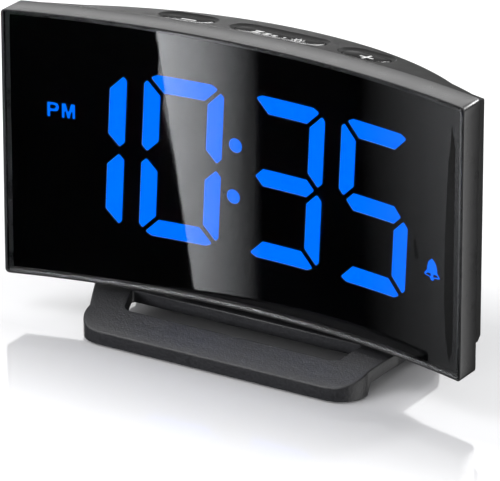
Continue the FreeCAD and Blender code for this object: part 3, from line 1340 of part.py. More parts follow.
def drill(body, name, radius, depth, start):
    """Cut the two screw ways up through the neck from below."""
    sketch = body.newObject("Sketcher::SketchObject", name)
    sketch.AttachmentSupport = (plane_of(body, "XY_Plane"), [""])
    sketch.MapMode = "FlatFace"
    for index, way in enumerate((-1, 1)):
        centre = Vector(way * value("Sizes.stand_screw_at"), value(NECK_MIDDLE), 0)
        sketch.addGeometry(Part.Circle(centre, Vector(0, 0, 1), value(radius)))
        for kind, text in (("DistanceX", "%d * Sizes.stand_screw_at" % way), ("DistanceY", NECK_MIDDLE)):
            tie = sketch.addConstraint(Sketcher.Constraint(kind, -1, 1, index, 3, value(text)))
            sketch.setExpression("Constraints[%d]" % tie, text)
        tie = sketch.addConstraint(Sketcher.Constraint("Radius", index, value(radius)))
        sketch.setExpression("Constraints[%d]" % tie, radius)
    return pocket(body, name + "_cut", sketch, depth)


PAD_LENGTH = "Sizes.pad_length"
PAD_DEPTH = "Sizes.pad_depth"


def pad_spots():
    """Return the centres of the four rubber feet as expressions, in the stand's frame."""
    front = "-Sizes.stand_reach + Sizes.foot_depth / 2"
    back = "Sizes.stand_tail - 4.6"
    across = "(Sizes.stand_width / 2 - 18)"
    return [("%d * %s" % (way, across), y) for y in (front, back) for way in (-1, 1)]


def foot_sketch(body, name, grow):
    """Draw the outlines of the four rubber feet, grown by a clearance."""
    sketch = body.newObject("Sketcher::SketchObject", name)
    sketch.AttachmentSupport = (plane_of(body, "XY_Plane"), [""])
    sketch.MapMode = "FlatFace"
    for spot, (x, y) in enumerate(pad_spots()):
        points = []
        for sign_x, sign_y in ((-1, -1), (1, -1), (1, 1), (-1, 1)):
            points.append(("%s + %d * (%s / 2 + %s)" % (x, sign_x, PAD_LENGTH, grow),
                           "%s + %d * (%s / 2 + %s)" % (y, sign_y, PAD_DEPTH, grow)))
        first = spot * 4
        for index in range(4):
            start = Vector(value(points[index][0]), value(points[index][1]), 0)
            end = Vector(value(points[(index + 1) % 4][0]), value(points[(index + 1) % 4][1]), 0)
            sketch.addGeometry(Part.LineSegment(start, end))
        for index in range(4):
            sketch.addConstraint(Sketcher.Constraint("Coincident", first + index, 2, first + (index + 1) % 4, 1))
        for index, texts in enumerate(points):
            for kind, text in zip(("DistanceX", "DistanceY"), texts):
                tie = sketch.addConstraint(Sketcher.Constraint(kind, -1, 1, first + index, 1, value(text)))
                sketch.setExpression("Constraints[%d]" % tie, text)
    return sketch


def make_rubber_feet():
    """Four pads pressed into the stand's two feet."""
    pieces = []
    for index, (x, y) in enumerate(pad_spots()):
        pieces.append(box("pad_%d" % index, (PAD_LENGTH, PAD_DEPTH, "Sizes.pad_stand_off + Sizes.pad_sink"),
                          ("%s - %s / 2" % (x, PAD_LENGTH), "%s + %s - %s / 2" % (GLASS_Y, y, PAD_DEPTH), "0")))
    node(group("rubber_feet_group", pieces), "rubber_feet")


# ---------------------------------------------------------------- document

def build():
    """Build every sub-part in assembly order."""
    lit, idle = display_outlines()
    make_front_frame()
    make_lens()
    make_mask(lit)
    make_diffusers(lit, idle)
    make_reflector(lit, idle)
    make_display_board(lit, idle)
    make_rear_housing()
    make_top_buttons()
    make_key_switches()
    make_rear_keys()
    make_main_board()
    make_board_parts()
    make_ribbon()
    make_power_socket()
    make_buzzer()
    make_battery()
    make_battery_door()
    make_screws()
    make_stand()
    make_rubber_feet()
    DOC.recompute()


def check():
    """Stop if any object failed or any sub-part has no valid shape."""
    faults = [item.Name for item in DOC.Objects if set(item.State) & {"Invalid", "Error"}]
    for item in NODES:
        if item.Shape.isNull() or not item.Shape.isValid() or not item.Shape.Solids:
            faults.append(item.Label)
    if faults:
        raise RuntimeError("failed: " + ", ".join(faults))


def export():
    """Write each sub-part to a STEP file named after its node."""
    os.makedirs("parts", exist_ok=True)
    for item in NODES:
        item.Shape.exportStep("parts/%s.step" % item.Label)
        print("%-22s %d solids  %.1f mm3" % (item.Label, len(item.Shape.Solids), item.Shape.Volume))


build()
check()
export()
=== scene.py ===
"""Looks of a curved LED alarm clock on a slotted stand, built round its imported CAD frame.

Lengths in the classes are millimetres, and meshes are made in metres, in the row frame:
+X to the reader's right, +Y to the back, +Z up, with the table at zero.
"""

import logging
import math
from collections.abc import Callable, Iterable, Sequence
from dataclasses import dataclass, field
from enum import Enum

import bmesh
import bpy
from mathutils import Matrix, Vector


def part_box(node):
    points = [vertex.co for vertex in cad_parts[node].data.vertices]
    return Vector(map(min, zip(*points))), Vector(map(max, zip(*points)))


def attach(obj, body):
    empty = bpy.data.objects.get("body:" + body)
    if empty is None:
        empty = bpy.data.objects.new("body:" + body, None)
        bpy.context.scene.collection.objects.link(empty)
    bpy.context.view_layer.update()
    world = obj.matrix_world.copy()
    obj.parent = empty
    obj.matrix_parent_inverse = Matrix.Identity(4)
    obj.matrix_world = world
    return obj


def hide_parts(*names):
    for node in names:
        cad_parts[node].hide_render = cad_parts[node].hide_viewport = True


LOG = logging.getLogger("clock")
MM = 0.001
TABLE_Z = -0.0001
WHITE = (1.0, 1.0, 1.0)

Point = tuple[float, float, float]
Flat = tuple[float, float]
Socket = bpy.types.NodeSocket

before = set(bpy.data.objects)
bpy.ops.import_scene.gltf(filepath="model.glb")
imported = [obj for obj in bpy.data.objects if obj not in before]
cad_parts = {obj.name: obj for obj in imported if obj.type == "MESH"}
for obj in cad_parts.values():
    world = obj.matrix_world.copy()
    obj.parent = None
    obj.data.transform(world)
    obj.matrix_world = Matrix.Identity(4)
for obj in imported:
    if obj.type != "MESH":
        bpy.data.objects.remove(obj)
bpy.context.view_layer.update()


# ------------------------------------------------------------------ mesh making

class MeshMaker:
    """Gathers rings and grids of points in millimetres and turns them into one mesh object."""

    def __init__(self) -> None:
        """Start with no points and no faces."""
        self.points: list[Point] = []
        self.faces: list[tuple[int, ...]] = []

    def add(self, point: Sequence[float]) -> int:
        """Keep a point.

        Args:
            point: x, y and z in millimetres.

        Returns:
            The point's index.
        """
        self.points.append((point[0], point[1], point[2]))
        return len(self.points) - 1

    def ring(self, points: Iterable[Sequence[float]]) -> list[int]:
        """Keep a row of points.

        Args:
            points: the points in order.

        Returns:
            Their indices.
        """
        return [self.add(point) for point in points]

    def bridge(self, first: Sequence[int], second: Sequence[int], closed: bool = True) -> None:
        """Join two rows of equal length with quads.

        Args:
            first: indices of the first row.
            second: indices of the second row.
            closed: whether the last point joins the first one.
        """
        count = len(first)
        for index in range(count if closed else count - 1):
            after = (index + 1) % count
            self.faces.append((first[index], first[after], second[after], second[index]))

    def loft(self, rings: Sequence[Iterable[Sequence[float]]], loop: bool = False) -> None:
        """Join closed rings in order, and fill the two end rings when there is no loop.

        Args:
            rings: rings of points, all of one length.
            loop: whether the last ring joins the first one.
        """
        rows = [self.ring(points) for points in rings]
        for first, second in zip(rows, rows[1:]):
            self.bridge(first, second)
        if loop:
            self.bridge(rows[-1], rows[0])
        else:
            self.faces.append(tuple(reversed(rows[0])))
            self.faces.append(tuple(rows[-1]))

    def build(self, name: str, sharp: float = 32.0, place: Matrix | None = None) -> bpy.types.Object:
        """Make the object.

        Args:
            name: the object's name.
            sharp: edges that turn by more than this many degrees stay crisp.
            place: where the points go, with its shift in millimetres.

        Returns:
            The object, linked to the scene.
        """
        mesh = bpy.data.meshes.new(name)
        moved = [place @ Vector(point) for point in self.points] if place else self.points
        mesh.from_pydata([Vector(point) * MM for point in moved], [], self.faces)
        thing = bpy.data.objects.new(name, mesh)
        bpy.context.scene.collection.objects.link(thing)
        tidy(thing, sharp)
        return thing


def tidy(thing: bpy.types.Object, sharp: float) -> None:
    """Weld a mesh, turn its faces outward and mark its crisp edges.

    Args:
        thing: the mesh object.
        sharp: edges that turn by more than this many degrees stay crisp.
    """
    work = bmesh.new()
    work.from_mesh(thing.data)
    bmesh.ops.remove_doubles(work, verts=work.verts, dist=2e-6)
    bmesh.ops.dissolve_degenerate(work, edges=work.edges, dist=1e-7)
    bmesh.ops.recalc_face_normals(work, faces=work.faces)
    limit = math.radians(sharp)
    for edge in work.edges:
        edge.smooth = not (edge.is_manifold and edge.calc_face_angle(0.0) > limit)
    for face in work.faces:
        face.smooth = True
    work.to_mesh(thing.data)
    work.free()


def carve(thing: bpy.types.Object, tools: Sequence[bpy.types.Object], operation: str = "DIFFERENCE",
          sharp: float = 32.0) -> None:
    """Cut tools from an object, or join them to it, and drop the tools.

    Args:
        thing: the object that changes.
        tools: the closed meshes to use.
        operation: the name of the boolean operation.
        sharp: the crisp edge limit of the result in degrees.
    """
    for tool in tools:
        step = thing.modifiers.new("carve", "BOOLEAN")
        step.operation = operation
        step.solver = "EXACT"
        step.object = tool
    graph = bpy.context.evaluated_depsgraph_get()
    made = bpy.data.meshes.new_from_object(thing.evaluated_get(graph))
    thing.modifiers.clear()
    old, thing.data = thing.data, made
    made.name = thing.name
    bpy.data.meshes.remove(old)
    for tool in tools:
        mesh = tool.data
        bpy.data.objects.remove(tool)
        bpy.data.meshes.remove(mesh)
    tidy(thing, sharp)


def turn_about(way: float, steps: int, start: float = 0.0) -> list[Flat]:
    """Points of a unit arc.

    Args:
        way: the angle to turn through, in degrees.
        steps: the number of steps.
        start: the first angle in degrees.

    Returns:
        Cosine and sine pairs.
    """
    angles = [math.radians(start + way * step / steps) for step in range(steps + 1)]
    return [(math.cos(angle), math.sin(angle)) for angle in angles]


def between(low: float, high: float, steps: int) -> list[float]:
    """Evenly spaced values, ends included.

    Args:
        low: the first value.
        high: the last value.
        steps: the number of steps.

    Returns:
        The values.
    """
    return [low + (high - low) * step / steps for step in range(steps + 1)]


def lathe(name: str, outline: Sequence[Flat], centre: Point, steps: int = 64) -> bpy.types.Object:
    """Turn an outline about an axis along Y.

    Args:
        name: the object's name.
        outline: radius and Y offset pairs from one end of the axis to the other.
        centre: the axis' place.
        steps: the number of steps round.

    Returns:
        The object.
    """
    maker = MeshMaker()
    rings = []
    for radius, depth in outline:
        rings.append([(centre[0] + radius * c, centre[1] + depth, centre[2] + radius * s)
                      for c, s in turn_about(360.0, steps)[:-1]])
    maker.loft(rings)
    return maker.build(name)


def pill(length: float, depth: float, grow: float = 0.0, steps: int = 14) -> list[Flat]:
    """Outline of a pill with two straight sides.

    Args:
        length: its whole length along X.
        depth: its width along Y.
        grow: how much larger it is all round.
        steps: steps in each round end.

    Returns:
        Points in order.
    """
    half = (length - depth) / 2
    radius = depth / 2 + grow
    right = [(half + radius * c, radius * s) for c, s in turn_about(180.0, steps, -90.0)]
    left = [(-half + radius * c, radius * s) for c, s in turn_about(180.0, steps, 90.0)]
    upper = [(x, radius) for x in between(half, -half, 8)[1:-1]]
    lower = [(x, -radius) for x in between(-half, half, 8)[1:-1]]
    return right + upper + left + lower


@dataclass
class GridSlab:
    """A slab over a grid of rows, with rounded edges round its rim and round any hole.

    Attributes:
        rows: the second coordinate of each row.
        columns: gives the first coordinates along a row, the same number each time.
        hole: tells whether the cell at a column and row index is open.
        top: height of the upper face at a place.
        bottom: height of the lower face at a place.
        inset: how far the rounding reaches beyond the grid.
        drop: height of the upper rounding.
        lift: height of the lower rounding.
        steps: steps in each rounding.
    """

    rows: list[float]
    columns: Callable[[float], list[float]]
    top: Callable[[float, float], float]
    bottom: Callable[[float, float], float]
    hole: Callable[[int, int], bool] = lambda column, row: False
    inset: float = 0.4
    drop: float = 0.4
    lift: float = 0.4
    steps: int = 4

    def mesh(self, place: Callable[[float, float, float], Point]) -> MeshMaker:
        """Make the closed mesh.

        Args:
            place: turns the two coordinates and a height into a point.

        Returns:
            The points and faces.
        """
        maker = MeshMaker()
        flat = [[(across, row) for across in self.columns(row)] for row in self.rows]
        wide, deep = len(flat[0]), len(flat)
        cells = [(i, j) for j in range(deep - 1) for i in range(wide - 1) if not self.hole(i, j)]
        used = {corner for i, j in cells for corner in ((i, j), (i + 1, j), (i + 1, j + 1), (i, j + 1))}
        upper, lower = {}, {}
        for i, j in sorted(used):
            u, v = flat[j][i]
            upper[i, j] = maker.add(place(u, v, self.top(u, v)))
            lower[i, j] = maker.add(place(u, v, self.bottom(u, v)))
        edges: dict[tuple, tuple] = {}
        for i, j in cells:
            loop = [(i, j), (i + 1, j), (i + 1, j + 1), (i, j + 1)]
            maker.faces.append(tuple(upper[corner] for corner in loop))
            maker.faces.append(tuple(lower[corner] for corner in reversed(loop)))
            for first, second in zip(loop, loop[1:] + loop[:1]):
                if (second, first) in edges:
                    del edges[second, first]
                else:
                    edges[first, second] = (first, second)
        follow = dict(edges.values())
        while follow:
            start, after = next(iter(follow.items()))
            chain = []
            while start in follow:
                chain.append(start)
                start = follow.pop(start)
            self._rim(maker, chain, flat, upper, lower, place)
        return maker

    def _rim(self, maker: MeshMaker, chain: list, flat: list, upper: dict, lower: dict,
             place: Callable[[float, float, float], Point]) -> None:
        """Close one rim with a rounding, a wall and a rounding.

        Args:
            maker: the mesh.
            chain: grid corners along the rim, the slab on their left.
            flat: the grid's places.
            upper: indices of the upper face's points.
            lower: indices of the lower face's points.
            place: turns the two coordinates and a height into a point.
        """
        spots = [flat[j][i] for i, j in chain]
        ways = []
        for index, (u, v) in enumerate(spots):
            before, after = spots[index - 1], spots[(index + 1) % len(spots)]
            lines = []
            for (u0, v0), (u1, v1) in ((before, (u, v)), ((u, v), after)):
                long = math.hypot(u1 - u0, v1 - v0) or 1.0
                lines.append(((v1 - v0) / long, -(u1 - u0) / long))
            across = (lines[0][0] + lines[1][0], lines[0][1] + lines[1][1])
            size = math.hypot(*across) or 1.0
            miter = min(2.0 / size, 1.6)
            ways.append((across[0] / size * miter, across[1] / size * miter))
        rows = [[upper[corner] for corner in chain]]
        for c, s in turn_about(90.0, self.steps)[1:]:
            rows.append(self._step(maker, spots, ways, s, self.drop * (1 - c), self.top, -1, place))
        for c, s in reversed(turn_about(90.0, self.steps)[1:]):
            rows.append(self._step(maker, spots, ways, s, self.lift * (1 - c), self.bottom, 1, place))
        rows.append([lower[corner] for corner in chain])
        for first, second in zip(rows, rows[1:]):
            maker.bridge(second, first)

    def _step(self, maker: MeshMaker, spots: list, ways: list, reach: float, drop: float,
              level: Callable[[float, float], float], side: int,
              place: Callable[[float, float, float], Point]) -> list[int]:
        """Add one ring of the rounding.

        Args:
            maker: the mesh.
            spots: the rim's places.
            ways: outward directions at those places.
            reach: share of the inset that this ring is out by.
            drop: how far the ring is from the face.
            level: the face's height.
            side: -1 below the upper face, 1 above the lower one.
            place: turns the two coordinates and a height into a point.

        Returns:
            The ring's indices.
        """
        out = []
        for (u, v), (a, b) in zip(spots, ways):
            u, v = u + a * self.inset * reach, v + b * self.inset * reach
            out.append(maker.add(place(u, v, level(u, v) + side * drop)))
        return out


# ------------------------------------------------------------------ finishes

class Slot(Enum):
    """The record's material slots."""

    FRAME = "frame_plastic"
    LENS = "smoked_lens"
    MASK = "mask_print"
    LIT = "lit_blue"
    IDLE = "idle_grey"
    REFLECTOR = "reflector_white"
    BOARD = "circuit_board"
    CHIP = "chip_black"
    LED = "led_white"
    HOUSING = "housing_plastic"
    BUTTON = "button_plastic"
    SWITCH = "switch_black"
    NICKEL = "nickel"
    STEEL = "screw_steel"
    STAND = "stand_plastic"
    RUBBER = "foot_rubber"
    RIBBON = "ribbon_grey"


class Graph:
    """Thin wrapper round a material's or world's node tree."""

    def __init__(self, tree: bpy.types.NodeTree) -> None:
        """Start on an empty tree.

        Args:
            tree: the node tree.
        """
        self.tree = tree
        tree.nodes.clear()

    def node(self, kind: str, settings: dict | None = None, **inputs: object) -> bpy.types.Node:
        """Add a node.

        Args:
            kind: the node's type name.
            settings: properties of the node.
            inputs: values or sockets for its inputs, with _ for a space in their names,
                or i and a number for the input at that place.

        Returns:
            The node.
        """
        made = self.tree.nodes.new(kind)
        for key, setting in (settings or {}).items():
            setattr(made, key, setting)
        for key, given in inputs.items():
            numbered = key[0] == "i" and key[1:].isdigit()
            socket = made.inputs[int(key[1:]) if numbered else key.replace("_", " ")]
            self.plug(given, socket)
        return made

    def plug(self, given: object, socket: Socket) -> None:
        """Link a socket to an input, or set the input's own value.

        Args:
            given: a value or a socket.
            socket: the input.
        """
        if isinstance(given, bpy.types.NodeSocket):
            self.tree.links.new(given, socket)
        else:
            socket.default_value = given

    def where(self) -> Socket:
        """The place on the object, in metres.

        Returns:
            The socket of the vector.
        """
        return self.node("ShaderNodeTexCoord").outputs["Object"]

    def noise(self, size: float, detail: float = 2.0, rough: float = 0.5) -> Socket:
        """Noise with features of one size.

        Args:
            size: feature size in millimetres.
            detail: octaves.
            rough: weight of the finer octaves.

        Returns:
            The value's socket.
        """
        made = self.node("ShaderNodeTexNoise", Vector=self.where(), Scale=1 / (size * MM),
                         Detail=detail, Roughness=rough)
        return made.outputs["Fac"]

    def cells(self, size: float, feature: str = "F1") -> Socket:
        """Voronoi cells of one size.

        Args:
            size: cell size in millimetres.
            feature: the distance that is measured.

        Returns:
            The distance's socket.
        """
        made = self.node("ShaderNodeTexVoronoi", {"feature": feature}, Vector=self.where(),
                         Scale=1 / (size * MM))
        return made.outputs["Distance"]

    def spread(self, source: Socket, low: float, high: float, start: float = 0.3,
               stop: float = 0.7) -> Socket:
        """Map a value's middle band to a range.

        Args:
            source: the value.
            low: result at the band's start.
            high: result at its end.
            start: the band's start.
            stop: the band's end.

        Returns:
            The result's socket.
        """
        made = self.node("ShaderNodeMapRange", Value=source, From_Min=start, From_Max=stop,
                         To_Min=low, To_Max=high)
        return made.outputs["Result"]

    def mix(self, share: Socket | float, first: Sequence[float] | Socket,
            second: Sequence[float] | Socket) -> Socket:
        """Mix two colours.

        Args:
            share: how much of the second.
            first: a colour.
            second: a colour.

        Returns:
            The colour's socket.
        """
        made = self.node("ShaderNodeMix", {"data_type": "RGBA"}, i0=share, i6=first, i7=second)
        return made.outputs[2]

    def add(self, first: Socket, second: Socket | float, share: float = 1.0) -> Socket:
        """Add a share of one value to another.

        Args:
            first: a value.
            second: the value that is scaled.
            share: its weight.

        Returns:
            The sum's socket.
        """
        sum_node = self.node("ShaderNodeMath", {"operation": "MULTIPLY_ADD"}, i0=second, i1=share, i2=first)
        return sum_node.outputs[0]

    def times(self, first: Socket, second: Socket) -> Socket:
        """Multiply two values.

        Args:
            first: a value.
            second: a value.

        Returns:
            The product's socket.
        """
        return self.node("ShaderNodeMath", {"operation": "MULTIPLY"}, i0=first, i1=second).outputs[0]

    def bump(self, height: Socket, depth: float, strength: float = 1.0) -> Socket:
        """Turn a height into a normal.

        Args:
            height: the height, 0 to 1.
            depth: its full depth in millimetres.
            strength: how much of it shows.

        Returns:
            The normal's socket.
        """
        made = self.node("ShaderNodeBump", Height=height, Distance=depth * MM, Strength=strength)
        return made.outputs["Normal"]


def shade(colour: Sequence[float], factor: float) -> tuple[float, float, float, float]:
    """Scale a colour.

    Args:
        colour: red, green and blue.
        factor: the scale.

    Returns:
        The colour with full alpha.
    """
    return tuple(min(1.0, channel * factor) for channel in colour[:3]) + (1.0,)


@dataclass(frozen=True)
class Finish:
    """A surface finish that makes its own material.

    Attributes:
        slot: the record's slot that it dresses.
        colour: its linear colour.
        rough: its mean roughness.
    """

    slot: Slot
    colour: tuple[float, float, float]
    rough: float = 0.4

    def make(self) -> bpy.types.Material:
        """Make the material, with its name taken from the slot.

        Returns:
            The material.
        """
        made = bpy.data.materials.new(self.slot.value + "_finish")
        made.use_nodes = True
        graph = Graph(made.node_tree)
        shader = graph.node("ShaderNodeBsdfPrincipled")
        out = graph.node("ShaderNodeOutputMaterial")
        made.node_tree.links.new(shader.outputs["BSDF"], out.inputs["Surface"])
        self.wire(graph, shader)
        return made

    def wire(self, graph: Graph, shader: bpy.types.Node) -> None:
        """Connect the finish's nodes to the shader.

        Args:
            graph: the material's graph.
            shader: the Principled node.
        """
        raise NotImplementedError

    def feed(self, graph: Graph, shader: bpy.types.Node, **inputs: object) -> None:
        """Set or link inputs of the shader.

        Args:
            graph: the material's graph.
            shader: the Principled node.
            inputs: values or sockets, with _ for a space in their names.
        """
        for key, given in inputs.items():
            graph.plug(given, shader.inputs[key.replace("_", " ")])


@dataclass(frozen=True)
class Moulded(Finish):
    """Injection-moulded plastic with a spark-eroded grain.

    Attributes:
        grain: grain size in millimetres.
        depth: grain depth in millimetres.
        leather: weight of the pebbled cells over the plain grain, which also paints shade between the pebbles
            and highlight on their tops, or zero for none.
        gloss: specular level.
        drift: how much the colour drifts over a part without pebbles.
    """

    grain: float = 0.3
    depth: float = 0.01
    leather: float = 0.0
    gloss: float = 0.5
    drift: float = 0.12

    def wire(self, graph: Graph, shader: bpy.types.Node) -> None:
        """Connect roughness and either pebbles, with painted shade between them and painted highlight on
        their tops, or tone drift, painted highlight specks on the grain's peaks and plain grain.

        Args:
            graph: the material's graph.
            shader: the Principled node.
        """
        fine = graph.noise(self.grain, 3.0, 0.6)
        if self.leather:
            pebble = graph.spread(graph.cells(self.grain * 2.4, "SMOOTH_F1"), 1.0, 0.0, 0.0, 0.7)
            height = graph.add(fine, pebble, self.leather)
            # Painted shade and highlight: darker colour in the crevices between pebbles, paler colour on
            # their domed tops.
            base = graph.mix(pebble, shade(self.colour, 0.6), shade(self.colour, 1.15))
        else:
            tone = graph.spread(graph.noise(22.0, 3.0), 0.0, 1.0)
            drifted = graph.mix(tone, shade(self.colour, 1 - self.drift), shade(self.colour, 1 + self.drift))
            # Painted highlight: paler specks where the grain's noise, which is also its bump height, stands
            # highest.
            peak_highlight = graph.spread(fine, 0.0, 0.35, 0.55, 0.8)
            height = fine
            base = graph.mix(peak_highlight, drifted, shade(self.colour, 1.5))
        smear = graph.spread(graph.noise(9.0, 2.0), self.rough * 0.9, self.rough * 1.12)
        self.feed(graph, shader, Base_Color=base, Roughness=graph.add(smear, fine, 0.08),
                  Specular_IOR_Level=self.gloss, Normal=graph.bump(height, self.depth))


@dataclass(frozen=True)
class SmokedLens(Finish):
    """Tinted acrylic with a polished, coated face and the faintest wipe marks.

    Attributes:
        gloss: specular level.
    """

    gloss: float = 0.0

    def wire(self, graph: Graph, shader: bpy.types.Node) -> None:
        """Connect tint and wipe marks.

        Args:
            graph: the material's graph.
            shader: the Principled node.
        """
        tint = graph.mix(graph.noise(40.0, 1.0), shade(self.colour, 0.97), shade(self.colour, 1.03))
        wipe = graph.spread(graph.noise(6.0, 4.0, 0.7), self.rough, self.rough * 2.0)
        self.feed(graph, shader, Base_Color=tint, Roughness=wipe, Transmission_Weight=1.0, IOR=1.47,
                  Specular_IOR_Level=self.gloss, Normal=graph.bump(graph.noise(30.0, 1.0), 0.002, 0.3))


@dataclass(frozen=True)
class Glow(Finish):
    """Backlit diffuser: an even glow with a slight fall-off grain.

    Attributes:
        power: strength of the glow.
    """

    power: float = 2.4

    def wire(self, graph: Graph, shader: bpy.types.Node) -> None:
        """Connect the glow and the milky body below it.

        Args:
            graph: the material's graph.
            shader: the Principled node.
        """
        patch = graph.spread(graph.noise(5.0, 2.0), 0.0, 1.0)
        hue = graph.mix(patch, shade(self.colour, 0.96), shade(self.colour, 1.0))
        body = graph.mix(0.96, hue, (0.0, 0.002, 0.02, 1.0))
        rough = graph.spread(graph.noise(0.4), self.rough * 1.125, self.rough * 1.5)
        self.feed(graph, shader, Base_Color=body, Roughness=rough, Specular_IOR_Level=0.0,
                  Emission_Color=hue, Emission_Strength=self.power,
                  Normal=graph.bump(graph.noise(0.25), 0.004))


@dataclass(frozen=True)
class Printed(Finish):
    """Screen-printed ink: a film with a slight mesh grain.

    Attributes:
        gloss: specular level.
    """

    gloss: float = 0.25

    def wire(self, graph: Graph, shader: bpy.types.Node) -> None:
        """Connect ink tone and mesh grain.

        Args:
            graph: the material's graph.
            shader: the Principled node.
        """
        grain = graph.noise(0.12, 2.0)
        base = graph.mix(graph.spread(grain, 0.0, 1.0), shade(self.colour, 0.88), shade(self.colour, 1.06))
        rough = graph.spread(grain, self.rough * 0.9, self.rough * 1.1)
        self.feed(graph, shader, Base_Color=base, Roughness=rough, Specular_IOR_Level=self.gloss,
                  Normal=graph.bump(grain, 0.003, min(1.0, self.rough)))


@dataclass(frozen=True)
class Metal(Finish):
    """Plated or bare metal with fine drawn lines.

    Attributes:
        stretch: how much longer than wide the drawn lines are.
    """

    stretch: float = 12.0

    def wire(self, graph: Graph, shader: bpy.types.Node) -> None:
        """Connect drawn lines, tone and tarnish.

        Args:
            graph: the material's graph.
            shader: the Principled node.
        """
        squeezed = graph.node("ShaderNodeMapping", Vector=graph.where(), Scale=(1.0, 1.0, self.stretch))
        lines = graph.node("ShaderNodeTexNoise", Vector=squeezed.outputs["Vector"], Scale=900.0, Detail=3.0)
        drawn = lines.outputs["Fac"]
        tarnish = graph.spread(graph.noise(3.0), 0.0, 1.0)
        base = graph.mix(tarnish, shade(self.colour, 0.85), shade(self.colour, 1.05))
        self.feed(graph, shader, Base_Color=base, Metallic=1.0,
                  Roughness=graph.spread(drawn, self.rough * 0.8, self.rough * 1.3),
                  Normal=graph.bump(drawn, 0.004))


@dataclass(frozen=True)
class Circuit(Finish):
    """Solder mask over copper: raised tracks, paler rims and tinned pads."""

    def wire(self, graph: Graph, shader: bpy.types.Node) -> None:
        """Connect tracks and pads.

        Args:
            graph: the material's graph.
            shader: the Principled node.
        """
        grid = graph.node("ShaderNodeTexVoronoi", {"distance": "CHEBYCHEV", "feature": "F2"},
                          Vector=graph.where(), Scale=320.0, Randomness=0.75)
        tracks = graph.spread(grid.outputs["Distance"], 0.0, 1.0, 0.52, 0.56)
        base = graph.mix(tracks, shade(self.colour, 0.7), shade(self.colour, 1.4))
        pads = graph.spread(graph.cells(2.6), 1.0, 0.0, 0.12, 0.15)
        base = graph.mix(pads, base, (0.6, 0.58, 0.5, 1.0))
        rough = graph.spread(tracks, self.rough, self.rough * 1.4, 0, 1)
        self.feed(graph, shader, Base_Color=base, Roughness=rough, Metallic=pads,
                  Normal=graph.bump(tracks, 0.03))


@dataclass(frozen=True)
class Ribbon(Finish):
    """Flat cable: ribs along its length."""

    def wire(self, graph: Graph, shader: bpy.types.Node) -> None:
        """Connect the ribs, with painted shade in their grooves and painted highlight on their crests.

        Args:
            graph: the material's graph.
            shader: the Principled node.
        """
        wave = graph.node("ShaderNodeTexWave", {"bands_direction": "X"}, Vector=graph.where(), Scale=250.0)
        ribs = wave.outputs["Fac"]
        # Painted shade and highlight: the rib wave darkens the colour in the grooves and lightens it on the
        # crests.
        self.feed(graph, shader, Base_Color=graph.mix(ribs, shade(self.colour, 0.7), shade(self.colour, 1.1)),
                  Roughness=graph.spread(graph.noise(0.5), self.rough * 0.8, self.rough * 1.2),
                  Normal=graph.bump(ribs, 0.05))


FINISHES: tuple[Finish, ...] = (
    Moulded(Slot.FRAME, (0.011, 0.011, 0.0115), 0.25, grain=0.16, depth=0.003, gloss=1.0),
    SmokedLens(Slot.LENS, (0.80, 0.81, 0.83), 0.012),
    Printed(Slot.MASK, (0.0008, 0.0008, 0.001), 0.03, gloss=0.5),
    Glow(Slot.LIT, (0.0, 0.142, 1.0), 0.4, power=1.6),
    Printed(Slot.IDLE, (0.0015, 0.0015, 0.002), 0.6, gloss=0.0),
    Moulded(Slot.REFLECTOR, (0.75, 0.75, 0.74), 0.5, grain=0.4, depth=0.006),
    Circuit(Slot.BOARD, (0.012, 0.06, 0.03), 0.35),
    Moulded(Slot.CHIP, (0.02, 0.02, 0.02), 0.5, grain=0.2, depth=0.006),
    Moulded(Slot.LED, (0.8, 0.8, 0.74), 0.35, grain=0.3, depth=0.003),
    Moulded(Slot.HOUSING, (0.022, 0.022, 0.022), 0.34, grain=0.34, depth=0.010, gloss=0.08),
    Moulded(Slot.BUTTON, (0.010, 0.010, 0.010), 0.16, grain=0.2, depth=0.002, gloss=0.35),
    Moulded(Slot.SWITCH, (0.02, 0.02, 0.022), 0.45, grain=0.25, depth=0.006),
    Metal(Slot.NICKEL, (0.68, 0.65, 0.60), 0.28),
    Metal(Slot.STEEL, (0.42, 0.42, 0.43), 0.32),
    Moulded(Slot.STAND, (0.0140, 0.0142, 0.0158), 0.33, grain=0.27, depth=0.06, leather=0.9, gloss=0.4),
    Moulded(Slot.RUBBER, (0.03, 0.03, 0.03), 0.75, grain=0.5, depth=0.02, gloss=0.3),
    Ribbon(Slot.RIBBON, (0.32, 0.33, 0.35), 0.5),
)


class Wardrobe:
    """Makes every finish once and hands its material out."""

    def __init__(self) -> None:
        """Make all the materials."""
        self.made = {finish.slot: finish.make() for finish in FINISHES}
        self.ink = Printed(Slot.REFLECTOR, (0.86, 0.86, 0.86), 0.55).make()
        self.ink.name = "white_ink_finish"

    def dress(self, thing: bpy.types.Object, slot: Slot, body: str = "clock") -> bpy.types.Object:
        """Give a new piece its finish and its body.

        Args:
            thing: the piece.
            slot: its slot.
            body: the CAD body that it rides on.

        Returns:
            The piece.
        """
        thing.data.materials.clear()
        thing.data.materials.append(self.made[slot])
        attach(thing, body)
        return thing

    def dress_node(self, name: str, slot: Slot) -> None:
        """Give a CAD node its finish.

        Args:
            name: the node.
            slot: its slot.
        """
        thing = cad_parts[name]
        for index in range(len(thing.material_slots)):
            thing.material_slots[index].material = self.made[slot]


# ------------------------------------------------------------------ the display

BEND_Y = -285.6
GLASS_RING = 280.0
GLASS_Y = BEND_Y + GLASS_RING


def bend(across: float, depth: float, high: float) -> Point:
    """A place in the bent display.

    Args:
        across: X.
        depth: distance behind the glass face.
        high: Z.

    Returns:
        The point.
    """
    ring = GLASS_RING + depth
    return (across, BEND_Y + math.sqrt(ring * ring - across * across), high)


